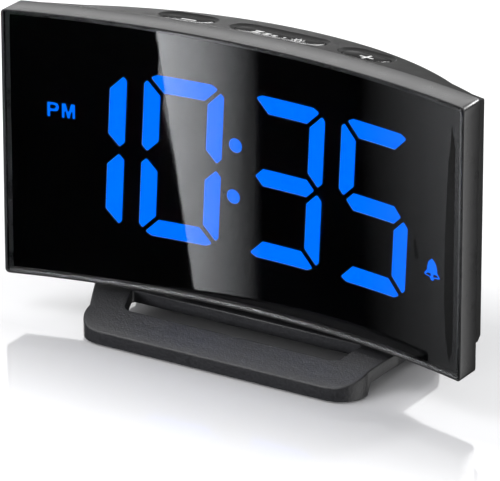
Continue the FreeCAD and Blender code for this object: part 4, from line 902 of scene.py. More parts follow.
@dataclass
class Display:
    """The bent hoop, the lens in its rebate, and the wall that closes the hoop's lower back.

    Attributes:
        half_width: half the slab's width.
        foot: the slab's lower edge.
        top: its upper edge.
        depth: the hoop, front to back.
        wall: the hoop's wall.
        rim: hoop left showing round the lens.
        corner: rounding of the four long corners.
        edge: rounding of the hoop's front and back edges.
        lens_front: the lens's face behind the hoop's face.
        lens_back: the lens's back behind the hoop's face.
        lens_gap: between lens and hoop.
        lens_corner: rounding of the lens's corners.
        lens_edge: rounding of its edges.
        gasket_gap: gasket to the hoop and to the lens.
        skirt_half: half the skirt's width.
        skirt_top: the skirt's upper edge.
        skirt_thick: the skirt.
        steps_across: steps along the slab's width.
    """

    half_width: float = 84.0
    foot: float = 12.2
    top: float = 102.2
    depth: float = 9.2
    wall: float = 2.0
    rim: float = 0.7
    corner: float = 1.5
    edge: float = 0.28
    lens_front: float = 0.06
    lens_back: float = 1.48
    lens_gap: float = 0.08
    lens_corner: float = 0.75
    lens_edge: float = 0.12
    gasket_gap: float = 0.012
    skirt_half: float = 82.6
    skirt_top: float = 22.7
    skirt_thick: float = 1.9
    steps_across: int = 112

    def outline(self, inset: float) -> list[Flat]:
        """The hoop's outline seen from the front, set in by a distance.

        Args:
            inset: the distance.

        Returns:
            X and Z pairs in order.
        """
        radius = max(self.corner - inset, 0.12)
        right, low, high = self.half_width - inset, self.foot + inset, self.top - inset
        points: list[Flat] = []
        corners = ((right - radius, high - radius, 0.0), (-right + radius, high - radius, 90.0),
                   (-right + radius, low + radius, 180.0), (right - radius, low + radius, 270.0))
        for index, (x, z, start) in enumerate(corners):
            points += [(x + radius * c, z + radius * s) for c, s in turn_about(90.0, 6, start)]
            far_x, far_z = corners[(index + 1) % 4][:2]
            c, s = math.cos(math.radians(start + 90)), math.sin(math.radians(start + 90))
            ends = (x + radius * c, z + radius * s), (far_x + radius * c, far_z + radius * s)
            steps = self.steps_across if index % 2 == 0 else 40
            side = zip(between(ends[0][0], ends[1][0], steps), between(ends[0][1], ends[1][1], steps))
            points += list(side)[1:-1]
        return points

    def hoop(self) -> bpy.types.Object:
        """Make the hoop from its section swept round the outline.

        Returns:
            The hoop.
        """
        e = self.edge
        section = [(self.wall, self.depth), (e, self.depth)]
        section += [(e - e * s, self.depth - e + e * c) for c, s in turn_about(90.0, 4)[1:]]
        section += [(e - e * c, e - e * s) for c, s in turn_about(90.0, 4)]
        section += [(self.rim - 0.03, 0.0), (self.rim, 0.03)]
        section += [(self.rim, self.lens_back + 0.02), (self.wall, self.lens_back + 0.02)]
        return self.sweep("front_hoop", section)

    def gasket(self) -> bpy.types.Object:
        """Make the black ring between the lens's edge and the hoop.

        Returns:
            The gasket.
        """
        outer, inner = self.rim + self.gasket_gap, self.rim + self.lens_gap - self.gasket_gap
        section = [(outer, 0.05), (inner, 0.05), (inner, self.lens_back), (outer, self.lens_back)]
        return self.sweep("lens_gasket", section)

    def sweep(self, name: str, section: Sequence[Flat]) -> bpy.types.Object:
        """Sweep a closed section round the outline.

        Args:
            name: the object's name.
            section: inset and depth pairs.

        Returns:
            The object.
        """
        rings = [[bend(x, depth, z) for x, z in self.outline(inset)] for inset, depth in section]
        maker = MeshMaker()
        maker.loft(rings, loop=True)
        return maker.build(name)

    def skirt(self) -> bpy.types.Object:
        """Make the wall that closes the hoop's back below the rear housing.

        Returns:
            The skirt.
        """
        slab = GridSlab(rows=between(self.foot + 1.4, self.skirt_top, 6),
                        columns=lambda row: between(-self.skirt_half, self.skirt_half, 90),
                        top=lambda u, v: self.skirt_thick - self.depth, bottom=lambda u, v: 0.02 - self.depth,
                        inset=0.2, drop=0.2, lift=0.2, steps=3)
        return slab.mesh(lambda u, v, h: bend(u, -h, v)).build("hoop_skirt")

    def lens(self) -> bpy.types.Object:
        """Make the lens with its rounded corners and polished edges.

        Returns:
            The lens.
        """
        edge = self.lens_edge
        inset = self.rim + self.lens_gap + edge
        radius = self.lens_corner
        right, low, high = self.half_width - inset, self.foot + inset, self.top - inset
        turns = turn_about(90.0, 5)
        rows = [low + radius * (1 - c) for c, s in turns] + between(low + radius, high - radius, 30)[1:-1]
        rows += [high - radius * (1 - c) for c, s in reversed(turns)]

        def columns(row: float) -> list[float]:
            """The row's places, shorter in the corners.

            Args:
                row: the row's height.

            Returns:
                The X values.
            """
            short = max(low + radius - row, row - high + radius, 0.0)
            half = right - radius + math.sqrt(max(radius * radius - short * short, 0.0))
            return between(-half, half, self.steps_across)

        slab = GridSlab(rows=rows, columns=columns, top=lambda u, v: -self.lens_front,
                        bottom=lambda u, v: -self.lens_back, inset=edge, drop=edge, lift=edge, steps=3)
        return slab.mesh(lambda u, v, h: bend(u, -h, v)).build("smoked_face")

    def build(self, wardrobe: Wardrobe) -> None:
        """Make and dress the pieces.

        Args:
            wardrobe: the finishes.
        """
        hoop = wardrobe.dress(self.hoop(), Slot.FRAME)
        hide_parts("front_frame")
        wardrobe.dress(self.skirt(), Slot.FRAME)
        wardrobe.dress(self.gasket(), Slot.IDLE)
        lens = wardrobe.dress(self.lens(), Slot.LENS)
        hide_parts("lens_panel")
        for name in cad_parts:
            if name.endswith(("_diffusers", "_diffuser")):
                wardrobe.dress_node(name, Slot.IDLE if name.startswith("idle") else Slot.LIT)
        wardrobe.dress_node("lens_mask", Slot.MASK)
        wardrobe.dress_node("display_reflector", Slot.REFLECTOR)
        wardrobe.dress_node("display_board", Slot.BOARD)
        wardrobe.dress_node("led_chips", Slot.LED)


# ------------------------------------------------------------------ top buttons

def button_matrix(side: int, ring: float = 298.5, slope: float = 9.0, turn: float = 6.25) -> Matrix:
    """Where a top button sits: its opening's plane on the housing's sloping top.

    Args:
        side: -1 for minus, 0 for snooze, 1 for plus.
        ring: distance from the bend axis.
        slope: the top's fall in degrees.
        turn: angle between neighbours in degrees.

    Returns:
        The matrix, its shift in millimetres.
    """
    high = Housing.top - (ring - Housing.front_ring) * math.tan(math.radians(slope))
    about = Matrix.Rotation(math.radians(-side * turn), 4, "Z")
    tilt = Matrix.Rotation(math.radians(-slope), 4, "X")
    return Matrix.Translation((0, BEND_Y, 0)) @ about @ Matrix.Translation((0, ring, high)) @ tilt


@dataclass
class TopButton:
    """One pill-shaped key: a spoon-shaped cap with a white sign on it.

    Attributes:
        body: the CAD body that it rides on.
        side: its place, -1, 0 or 1.
        length: its length.
        depth: its width, front to back.
        sink: its face below the housing's top.
        gap: between cap and opening.
        margin: width of the dish round it.
        spoon: rise of its face towards the ends.
        spoon_reach: stretch at each end over which the face rises.
        edge: rounding of its rim.
        film: height of the printed sign.
    """

    body: str
    side: int
    length: float
    depth: float = 8.4
    sink: float = 0.7
    gap: float = 0.3
    margin: float = 1.5
    spoon: float = 0.34
    spoon_reach: float = 4.6
    edge: float = 0.22
    film: float = 0.05

    def level(self, x: float, y: float) -> float:
        """Height of the cap's face, which rises towards its round ends.

        Args:
            x: place along the cap.
            y: place across the cap.

        Returns:
            The height.
        """
        half = self.length / 2
        along = max(0.0, (abs(x) - (half - self.spoon_reach)) / self.spoon_reach)
        across = abs(y) / (self.depth / 2)
        return -self.sink - 0.1 + self.spoon * min(1.0, along ** 2 + 0.5 * across ** 2)

    def cap(self) -> bpy.types.Object:
        """Make the cap.

        Returns:
            The cap.
        """
        maker = MeshMaker()
        rings = [[(x, y, -2.3) for x, y in pill(self.length, self.depth)]]
        for c, s in turn_about(90.0, 4):
            inset = self.edge * (1 - c)
            rings.append([(x, y, self.level(x, y) - self.edge * (1 - s))
                          for x, y in pill(self.length, self.depth, -inset)])
        radius = self.depth / 2
        for share in between(0.0, 1.0, 9)[1:-1]:
            inset = self.edge + (radius - self.edge) * share
            rings.append([(x, y, self.level(x, y)) for x, y in pill(self.length, self.depth, -inset)])
        rings.append([(x, y, self.level(x, y)) for x, y in pill(self.length, self.depth, -radius + 0.02)])
        maker.loft(rings)
        return maker.build(self.body + "_cap", place=button_matrix(self.side))

    def cutter(self) -> bpy.types.Object:
        """Make the tool that cuts the opening and its rounded dish into the housing.

        Returns:
            The tool.
        """
        maker = MeshMaker()
        rings = [[(x, y, -8.0) for x, y in pill(self.length, self.depth, self.gap)]]
        for share in between(0.0, 1.0, 6):
            rise = -self.sink + (self.sink + 0.1) * (share ** 1.6)
            outline = pill(self.length, self.depth, self.gap + self.margin * share)
            rings.append([(x, y, rise) for x, y in outline])
        rings.append([(x, y, 6.0) for x, y in pill(self.length, self.depth, self.gap + self.margin + 0.4)])
        maker.loft(rings)
        return maker.build(self.body + "_tool", place=button_matrix(self.side))

    def sign(self) -> bpy.types.Object:
        """Make the printed sign of this key.

        Returns:
            The sign.
        """
        maker = MeshMaker()
        for outline in SIGNS[self.side]:
            self._print(maker, outline)
        return maker.build(self.body + "_sign", place=button_matrix(self.side))

    def _print(self, maker: MeshMaker, outline: list[Flat]) -> None:
        """Lay one closed outline on the cap as a thin film.

        Args:
            maker: the mesh.
            outline: its points in order.
        """
        low = maker.ring((x, y, self.level(x, y) - 0.01) for x, y in outline)
        high = maker.ring((x, y, self.level(x, y) + self.film) for x, y in outline)
        maker.bridge(low, high)
        maker.faces.append(tuple(high))
        maker.faces.append(tuple(reversed(low)))

    def build(self, wardrobe: Wardrobe) -> None:
        """Make and dress the cap and its sign.

        Args:
            wardrobe: the finishes.
        """
        cap = wardrobe.dress(self.cap(), Slot.BUTTON, self.body)
        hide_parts(self.body + "_button")
        sign = wardrobe.dress(self.sign(), Slot.REFLECTOR, self.body)
        sign.data.materials[0] = wardrobe.ink


def bar(x: float, y: float, long: float, wide: float, angle: float = 0.0) -> list[Flat]:
    """A bar's outline.

    Args:
        x: its middle.
        y: its middle.
        long: its length.
        wide: its width.
        angle: its turn in degrees.

    Returns:
        Points in order.
    """
    c, s = math.cos(math.radians(angle)), math.sin(math.radians(angle))
    ends = ((-long / 2, -wide / 2), (long / 2, -wide / 2), (long / 2, wide / 2), (-long / 2, wide / 2))
    return [(x + a * c - b * s, y + a * s + b * c) for a, b in ends]


def zed(x: float, y: float, size: float, stroke: float) -> list[Flat]:
    """The letter Z of the usual snooze sign.

    Args:
        x: its left edge.
        y: its foot.
        size: its height.
        stroke: the stroke's width.

    Returns:
        Points in order.
    """
    w, h, t = size * 0.95, size, stroke
    shape = ((0, 0), (w, 0), (w, t), (t * 1.7, t), (w, h - t * 0.9), (w, h), (0, h), (0, h - t),
             (w - t * 1.7, h - t), (0, t * 0.9))
    return [(x + a, y + b) for a, b in shape]


def disc(x: float, y: float, radius: float, steps: int = 20) -> list[Flat]:
    """A round outline.

    Args:
        x: its middle.
        y: its middle.
        radius: its radius.
        steps: the number of steps round.

    Returns:
        Points in order.
    """
    return [(x + radius * c, y + radius * s) for c, s in turn_about(360.0, steps)[:-1]]


def sun(x: float, y: float, radius: float) -> list[list[Flat]]:
    """The usual brightness sign: a ring in eight rays.

    Args:
        x: its middle.
        y: its middle.
        radius: reach of the rays.

    Returns:
        Outlines.
    """
    pieces = []
    inner, outer = radius * 0.36, radius * 0.56
    turns = turn_about(360.0, 16)
    for (c0, s0), (c1, s1) in zip(turns, turns[1:]):
        pieces.append([(x + inner * c0, y + inner * s0), (x + outer * c0, y + outer * s0),
                       (x + outer * c1, y + outer * s1), (x + inner * c1, y + inner * s1)])
    for c, s in turn_about(360.0, 8)[:-1]:
        pieces.append(bar(x + radius * 0.86 * c, y + radius * 0.86 * s, radius * 0.3, 0.34,
                          math.degrees(math.atan2(s, c))))
    return pieces


SIGNS: dict[int, list[list[Flat]]] = {
    -1: [bar(0, 0, 5.0, 0.75)],
    0: [zed(-9.6, -1.5, 3.2, 0.62), zed(-5.6, -1.5, 2.4, 0.52), zed(-2.5, -1.5, 1.8, 0.44),
        disc(1.9, -0.2, 0.5)] + sun(6.6, 0.0, 2.3),
    1: [bar(0, 0, 5.0, 0.75), bar(0, 1.45, 0.75, 2.1), bar(0, -1.45, 0.75, 2.1)],
}


# ------------------------------------------------------------------ rear housing

@dataclass
class Housing:
    """The back shell: sloping top, round back, bevelled foot and every opening in it.

    Attributes:
        top: the housing's highest edge.
        foot: its lower edge.
        half_width: half its width.
        front_ring: its front's distance from the bend axis.
        layer_ring: the back of its flat layer, from the bend axis.
        bulge_ring: plan radius of its round back.
        bulge_y: centre of that radius.
        slope: the top's fall towards the back, in degrees.
        crown: rounding of the upper back edge.
        bevel: bevel along the foot.
        end_edge: rounding of the two ends.
        bore_long: length of the tools for round openings.
        key_spot: X and Z of the rear keys, mirrored for the second.
        door_z: the battery door's centre.
        socket_spot: X and Z of the power socket.
        sound_spot: X and Z of the sound holes' middle.
        sound_ring: the ring that the outer sound holes stand on.
        corner_spots: X and Z of the housing screws.
    """

    top: float = 101.4
    foot: float = 21.4
    half_width: float = 83.4
    front_ring: float = 289.2
    layer_ring: float = 292.8
    bulge_ring: float = 111.0
    bulge_y: float = -82.0
    slope: float = 9.0
    crown: float = 6.0
    bevel: float = 1.6
    end_edge: float = 0.4
    bore_long: float = 40.0
    key_spot: Flat = (27.0, 66.0)
    door_z: float = 54.0
    socket_spot: Flat = (-29.0, 40.0)
    sound_spot: Flat = (28.0, 42.0)
    sound_ring: float = 3.6
    corner_spots: tuple[Flat, ...] = ((-79.4, 31.2), (79.4, 31.2), (-79.4, 91.2), (79.4, 91.2))

    def section(self, x: float, inset: float) -> list[Point]:
        """The closed section across the housing at one place.

        Args:
            x: the place.
            inset: how much smaller it is all round.

        Returns:
            Points in order.
        """
        front = BEND_Y + math.sqrt(self.front_ring ** 2 - x * x) + inset * 0.2
        layer = BEND_Y + math.sqrt(self.layer_ring ** 2 - x * x)
        bulge = self.bulge_y + math.sqrt(max(self.bulge_ring ** 2 - x * x, 0.0))
        back = max(layer, bulge) - inset
        angle = math.radians(self.slope)
        proud = max(bulge - layer, 0.0)
        radius = min(self.crown, 0.5 + proud * 0.8)
        cut = min(self.bevel, back - front - 0.6)

        def level(y: float) -> float:
            """Height of the sloping top.

            Args:
                y: a place along Y.

            Returns:
                The height in millimetres.
            """
            return self.top - inset - (math.hypot(x, y - BEND_Y) - self.front_ring) * math.tan(angle)

        start = back - radius + radius * math.sin(angle)
        centre_z = level(start) - radius * math.cos(angle)
        low = self.foot + inset
        loop = [(x, front, low)]
        loop += [(x, front, z) for z in between(low, level(front), 8)[1:]]
        loop += [(x, y, level(y)) for y in between(front, start, 12)[1:]]
        arc = turn_about(-(90.0 - self.slope), 8, 90.0 - self.slope)
        loop += [(x, back - radius + radius * c, centre_z + radius * s) for c, s in arc[1:]]
        loop += [(x, back, z) for z in between(centre_z, low + cut, 22)[1:]]
        loop += [(x, back - cut * share, low + cut * (1 - share)) for share in (0.5, 1.0)]
        loop += [(x, y, low) for y in between(back - cut, front, 6)[1:-1]]
        return loop

    def shell(self) -> bpy.types.Object:
        """Make the closed shell before its openings.

        Returns:
            The shell.
        """
        half, e = self.half_width, self.end_edge
        stations = [(-half, e), (-half + e * 0.3, e * 0.3), (-half + e, 0.0)]
        stations += [(x, 0.0) for x in between(-half + e, half - e, 104)[1:-1]]
        stations += [(-x, inset) for x, inset in reversed(stations[:3])]
        maker = MeshMaker()
        maker.loft([self.section(x, inset) for x, inset in stations])
        return maker.build("back_shell", sharp=24.0)

    def bore(self, name: str, radius: float, x: float, z: float, start: float,
             steps: int = 40) -> bpy.types.Object:
        """Make a round tool along Y.

        Args:
            name: its name.
            radius: its radius.
            x: its axis.
            z: its axis.
            start: where it starts, measured along Y.
            steps: the number of steps round.

        Returns:
            The tool.
        """
        return lathe(name, [(radius, 0.0), (radius, self.bore_long)], (x, start, z), steps)

    def openings(self, keys: Sequence[TopButton]) -> list[bpy.types.Object]:
        """Make every tool that opens the shell.

        Args:
            keys: the top keys.

        Returns:
            The tools.
        """
        tools = [key.cutter() for key in keys]
        tools.append(self.bore("door_tool", 13.6, 0.0, self.door_z, 26.8, 72))
        key_x, key_z = self.key_spot
        tools += [self.bore("key_tool", 3.7, way * key_x, key_z, 20.0) for way in (-1, 1)]
        tools.append(self.bore("socket_tool", 4.3, *self.socket_spot, 18.0))
        tools.append(self.bore("sound_tool", 0.8, *self.sound_spot, 20.0, 16))
        for c, s in turn_about(360.0, 6)[:-1]:
            x, z = self.sound_spot[0] + self.sound_ring * c, self.sound_spot[1] + self.sound_ring * s
            tools.append(self.bore("sound_tool", 0.8, x, z, 20.0, 16))
        for x, z in self.corner_spots:
            start = BEND_Y + math.sqrt(self.front_ring ** 2 - x * x) + 1.4
            tools.append(self.bore("screw_tool", 2.05, x, z, start, 28))
        return tools

    def build(self, wardrobe: Wardrobe, keys: Sequence[TopButton]) -> None:
        """Make and dress the shell.

        Args:
            wardrobe: the finishes.
            keys: the top keys.
        """
        shell = self.shell()
        carve(shell, self.openings(keys), sharp=24.0)
        wardrobe.dress(shell, Slot.HOUSING)
        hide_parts("rear_housing")


@dataclass
class RearFittings:
    """Rear keys and battery door.

    Attributes:
        key_radius: a rear key.
        key_edge: rounding of its rim.
        key_dish: depth of its dished face.
        door_radius: the battery door.
        door_thick: its plate.
        door_edge: rounding of its rim.
        hub_radius: the part that reaches into the housing.
        groove: depth of the ring pressed into its face.
        coin_slot: length, width and depth of the coin slot.
    """

    key_radius: float = 3.4
    key_edge: float = 0.4
    key_dish: float = 0.28
    door_radius: float = 13.4
    door_thick: float = 1.3
    door_edge: float = 0.35
    hub_radius: float = 11.2
    groove: float = 0.14
    coin_slot: Point = (14.0, 2.0, 0.8)

    def key(self, body: str, x: float, wardrobe: Wardrobe) -> None:
        """Make one round key with a dished face.

        Args:
            body: its CAD body.
            x: its place.
            wardrobe: the finishes.
        """
        low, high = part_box(body + "_button")
        face = high.y / MM
        r, e = self.key_radius, self.key_edge
        outline = [(0.02, low.y / MM - face), (r, low.y / MM - face), (r, -0.5)]
        outline += [(r - e + e * c, -e + e * s) for c, s in turn_about(90.0, 4)]
        outline += [(r * share, -self.key_dish * (1 - share ** 2)) for share in (0.8, 0.6, 0.4, 0.2, 0.01)]
        cap = lathe(body + "_cap", outline, (x, face, Housing.key_spot[1]))
        wardrobe.dress(cap, Slot.BUTTON, body)
        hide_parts(body + "_button")

    def door(self, wardrobe: Wardrobe) -> None:
        """Make the battery door with its coin slot.

        Args:
            wardrobe: the finishes.
        """
        low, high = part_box("battery_door")
        r, e, hub = self.door_radius, self.door_edge, self.hub_radius
        face, middle = high.y / MM, Housing.door_z
        back = low.y / MM - face
        outline = [(0.02, back), (hub, back), (hub, -self.door_thick), (r, -self.door_thick), (r, -e)]
        outline += [(r - e + e * c, -e + e * s) for c, s in turn_about(90.0, 4)]
        outline += [(r - 1.6, 0.0), (r - 1.75, -self.groove), (r - 2.15, -self.groove), (r - 2.3, 0.0)]
        outline += [(6.0, 0.0), (0.02, 0.0)]
        door = lathe("door_cap", outline, (0.0, face, middle), 96)
        long, wide, deep = self.coin_slot
        slot = MeshMaker()
        slot.loft([[(x, y, middle + z) for x, z in pill(long, wide)] for y in (face - deep, face + 1.0)])
        carve(door, [slot.build("slot_tool")])
        wardrobe.dress(door, Slot.HOUSING, "door")
        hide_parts("battery_door")

    def build(self, wardrobe: Wardrobe) -> None:
        """Make and dress the fittings.

        Args:
            wardrobe: the finishes.
        """
        self.key("set", Housing.key_spot[0], wardrobe)
        self.key("alarm", -Housing.key_spot[0], wardrobe)
        self.door(wardrobe)


# ------------------------------------------------------------------ the stand

@dataclass
class Stand:
    """Lipped plate on two feet with a through slot, and the neck that carries the clock.

    Attributes:
        front: the lip's face.
        tail: the back face.
        half_width: half the plate's width at its front.
        flare: how much wider it is at the back, on the reader's left and right.
        corner: plan rounding of its corners.
        edge: rounding of its upper edges and of the slot.
        under_edge: rounding of its lower edges.
        slot_front: the slot's front edge.
        slot_back: its back edge.
        slot_half: half its width at the front.
        slot_flare: how much wider it is at the back, on the reader's left and right.
        slot_corner: rounding of its corners.
        neck_half: half the neck's width.
        neck_low: its front face.
        neck_high: its back face.
        neck_corner: rounding of its upright edges.
        neck_levels: heights of its rings, from inside the plate to inside the clock.
        crest: Y and Z along the plate's upper face.
        step_y: back of the front foot.
        belly: Y and Z along its underside.
        finest: the least spacing of the plate's rows.
    """

    front: float = -29.0
    tail: float = 27.4
    half_width: float = 51.4
    flare: tuple[float, float] = (6.4, 3.0)
    corner: float = 9.2
    edge: float = 0.45
    under_edge: float = 0.3
    slot_front: float = -17.2
    slot_back: float = -5.6
    slot_half: float = 39.4
    slot_flare: tuple[float, float] = (4.4, 2.4)
    slot_corner: float = 2.0
    neck_half: float = 34.0
    neck_low: float = 4.3
    neck_high: float = 17.9
    neck_corner: float = 3.5
    neck_levels: Point = (8.0, 14.0, 23.5)
    crest: tuple[Flat, ...] = ((-29.0, 4.8), (-26.6, 5.95), (-23.4, 7.16), (-20.0, 8.16), (-16.8, 8.99),
                               (-13.8, 9.62), (-10.7, 10.11), (-6.0, 10.5), (-1.0, 10.7), (19.4, 10.7),
                               (22.4, 10.1), (25.4, 8.7), (27.4, 6.0))
    step_y: float = -18.74
    belly: tuple[Flat, ...] = ((-29.0, 0.4), (-18.8, 0.4), (step_y, 3.3), (-17.2, 4.2), (-6.8, 6.2),
                               (17.9, 6.2), (19.4, 0.4), (27.4, 0.4))
    finest: float = 0.3

    @staticmethod
    def along(line: Sequence[Flat], y: float) -> float:
        """Height of a profile at a place.

        Args:
            line: its points.
            y: the place.

        Returns:
            The height.
        """
        for (y0, z0), (y1, z1) in zip(line, line[1:]):
            if y <= y1:
                share = max(0.0, (y - y0) / (y1 - y0))
                return z0 + (z1 - z0) * share
        return line[-1][1]

    def wide(self, y: float, side: int) -> float:
        """Half the plate's width at a place, before its corners are rounded.

        Args:
            y: the place.
            side: 0 on the reader's left, 1 on the right.

        Returns:
            The half width.
        """
        start = self.front + self.corner + 1
        share = min(1.0, max(0.0, (y - start) / (GLASS_Y - start)))
        return self.half_width + self.flare[side] * share

    def half_at(self, y: float, side: int) -> float:
        """Half the grid's width at a place.

        Args:
            y: the place.
            side: 0 on the reader's left, 1 on the right.

        Returns:
            The half width, corners and edge rounding taken off.
        """
        radius = self.corner - self.edge
        short = max(self.front + self.edge + radius - y, y - self.tail + self.edge + radius, 0.0)
        turn = math.sqrt(max(radius * radius - short * short, 0.0))
        return self.wide(y, side) - self.edge - radius + turn

    def slot_at(self, y: float, side: int) -> float:
        """Half the slot's width at a place, edge rounding included.

        Args:
            y: the place.
            side: 0 on the reader's left, 1 on the right.

        Returns:
            The half width.
        """
        front, back = self.slot_front - self.edge, self.slot_back + self.edge
        radius = self.slot_corner + self.edge
        inside = min(max(y, front), back)
        short = max(front + radius - inside, inside - back + radius, 0.0)
        share = (inside - self.slot_front) / (self.slot_back - self.slot_front)
        straight = self.slot_half + self.slot_flare[side] * share + self.edge - radius
        return straight + math.sqrt(max(radius * radius - short * short, 0.0))

    def rows(self) -> list[float]:
        """The grid's rows: round ends, slot corners, and every break of the profiles.

        Returns:
            The Y values, from low to high.
        """
        values: set[float] = set()
        low, high = self.front + self.edge, self.tail - self.edge
        radius = self.corner - self.edge
        for c, s in turn_about(90.0, 14):
            values |= {low + radius * (1 - c), high - radius * (1 - c)}
        near, far = self.slot_front - self.edge, self.slot_back + self.edge
        bend_radius = self.slot_corner + self.edge
        for c, s in turn_about(90.0, 6):
            values |= {near + bend_radius * (1 - c), far - bend_radius * (1 - c)}
        keep = {y for y, z in self.crest + self.belly if low < y < high} | {low, high, near, far}
        values |= keep | set(between(self.front + 2.0, self.tail - 2.4, 40))
        ordered: list[float] = []
        for y in sorted(values):
            if ordered and y - ordered[-1] < self.finest and y not in keep:
                continue
            while ordered and y - ordered[-1] < self.finest and ordered[-1] not in keep:
                ordered.pop()
            ordered.append(y)
        return ordered

    def plate(self) -> bpy.types.Object:
        """Make the plate with its slot.

        Returns:
            The plate.
        """
        outer, inner = 9, 26
        rows = self.rows()
        near, far = self.slot_front - self.edge, self.slot_back + self.edge

        def columns(y: float) -> list[float]:
            """A row's places, with the slot's sides on fixed columns.

            Args:
                y: a place along Y.

            Returns:
                The X values.
            """
            slots = self.slot_at(y, 0), self.slot_at(y, 1)
            left = between(-self.half_at(y, 0), -slots[0], outer)
            right = between(slots[1], self.half_at(y, 1), outer)
            return left + between(-slots[0], slots[1], 2 * inner)[1:-1] + right

        def hole(column: int, row: int) -> bool:
            """Tell whether a cell is in the slot.

            Args:
                column: the cell's place along X, as an index.
                row: the cell's place along Y, as an index.

            Returns:
                Whether its middle lies in the slot.
            """
            middle = (rows[row] + rows[row + 1]) / 2
            return outer <= column < outer + 2 * inner and near < middle < far

        slab = GridSlab(rows=rows, columns=columns, hole=hole,
                        top=lambda u, v: self.along(self.crest, v),
                        bottom=lambda u, v: self.along(self.belly, v),
                        inset=self.edge, drop=self.edge, lift=self.under_edge, steps=4)
        return slab.mesh(lambda u, v, h: (u, v, h)).build("stand_plate", sharp=35.0)

    def neck(self) -> bpy.types.Object:
        """Make the neck between the plate and the clock.

        Returns:
            The neck.
        """
        maker = MeshMaker()
        r = self.neck_corner
        low, high, half = self.neck_low, self.neck_high, self.neck_half
        ring: list[Flat] = []
        for x, y, start in ((half - r, high - r, 0), (-half + r, high - r, 90), (-half + r, low + r, 180),
                            (half - r, low + r, 270)):
            ring += [(x + r * c, y + r * s) for c, s in turn_about(90.0, 8, start)]
        maker.loft([[(x, y, z) for x, y in ring] for z in self.neck_levels])
        return maker.build("neck_tool")

    def build(self, wardrobe: Wardrobe) -> None:
        """Make and dress the stand, its feet and its screws.

        Args:
            wardrobe: the finishes.
        """
        plate = self.plate()
        carve(plate, [self.neck()], "UNION", 35.0)
        wardrobe.dress(plate, Slot.STAND)
        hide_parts("stand")
        wardrobe.dress_node("rubber_feet", Slot.RUBBER)
        wardrobe.dress_node("stand_screws", Slot.STEEL)


# ------------------------------------------------------------------ inside

@dataclass
class Works:
    """The parts inside the housing, which keep their CAD shapes."""

    slots: dict[str, Slot] = field(default_factory=lambda: {
        "minus_plunger": Slot.SWITCH, "snooze_plunger": Slot.SWITCH, "plus_plunger": Slot.SWITCH,
        "set_plunger": Slot.SWITCH, "alarm_plunger": Slot.SWITCH, "key_switches": Slot.SWITCH,
        "rear_switches": Slot.SWITCH, "key_board": Slot.BOARD, "main_board": Slot.BOARD,
        "board_parts": Slot.CHIP, "ribbon_cable": Slot.RIBBON, "power_socket": Slot.SWITCH,
        "socket_pin": Slot.NICKEL, "buzzer": Slot.SWITCH, "coin_cell": Slot.NICKEL,
        "cell_holder": Slot.SWITCH, "cell_contacts": Slot.NICKEL, "board_screws": Slot.STEEL,
        "housing_screws": Slot.STEEL,
    })

    def build(self, wardrobe: Wardrobe) -> None:
        """Dress every inner node.

        Args:
            wardrobe: the finishes.
        """
        for name, slot in self.slots.items():
            wardrobe.dress_node(name, slot)


# ------------------------------------------------------------------ the studio

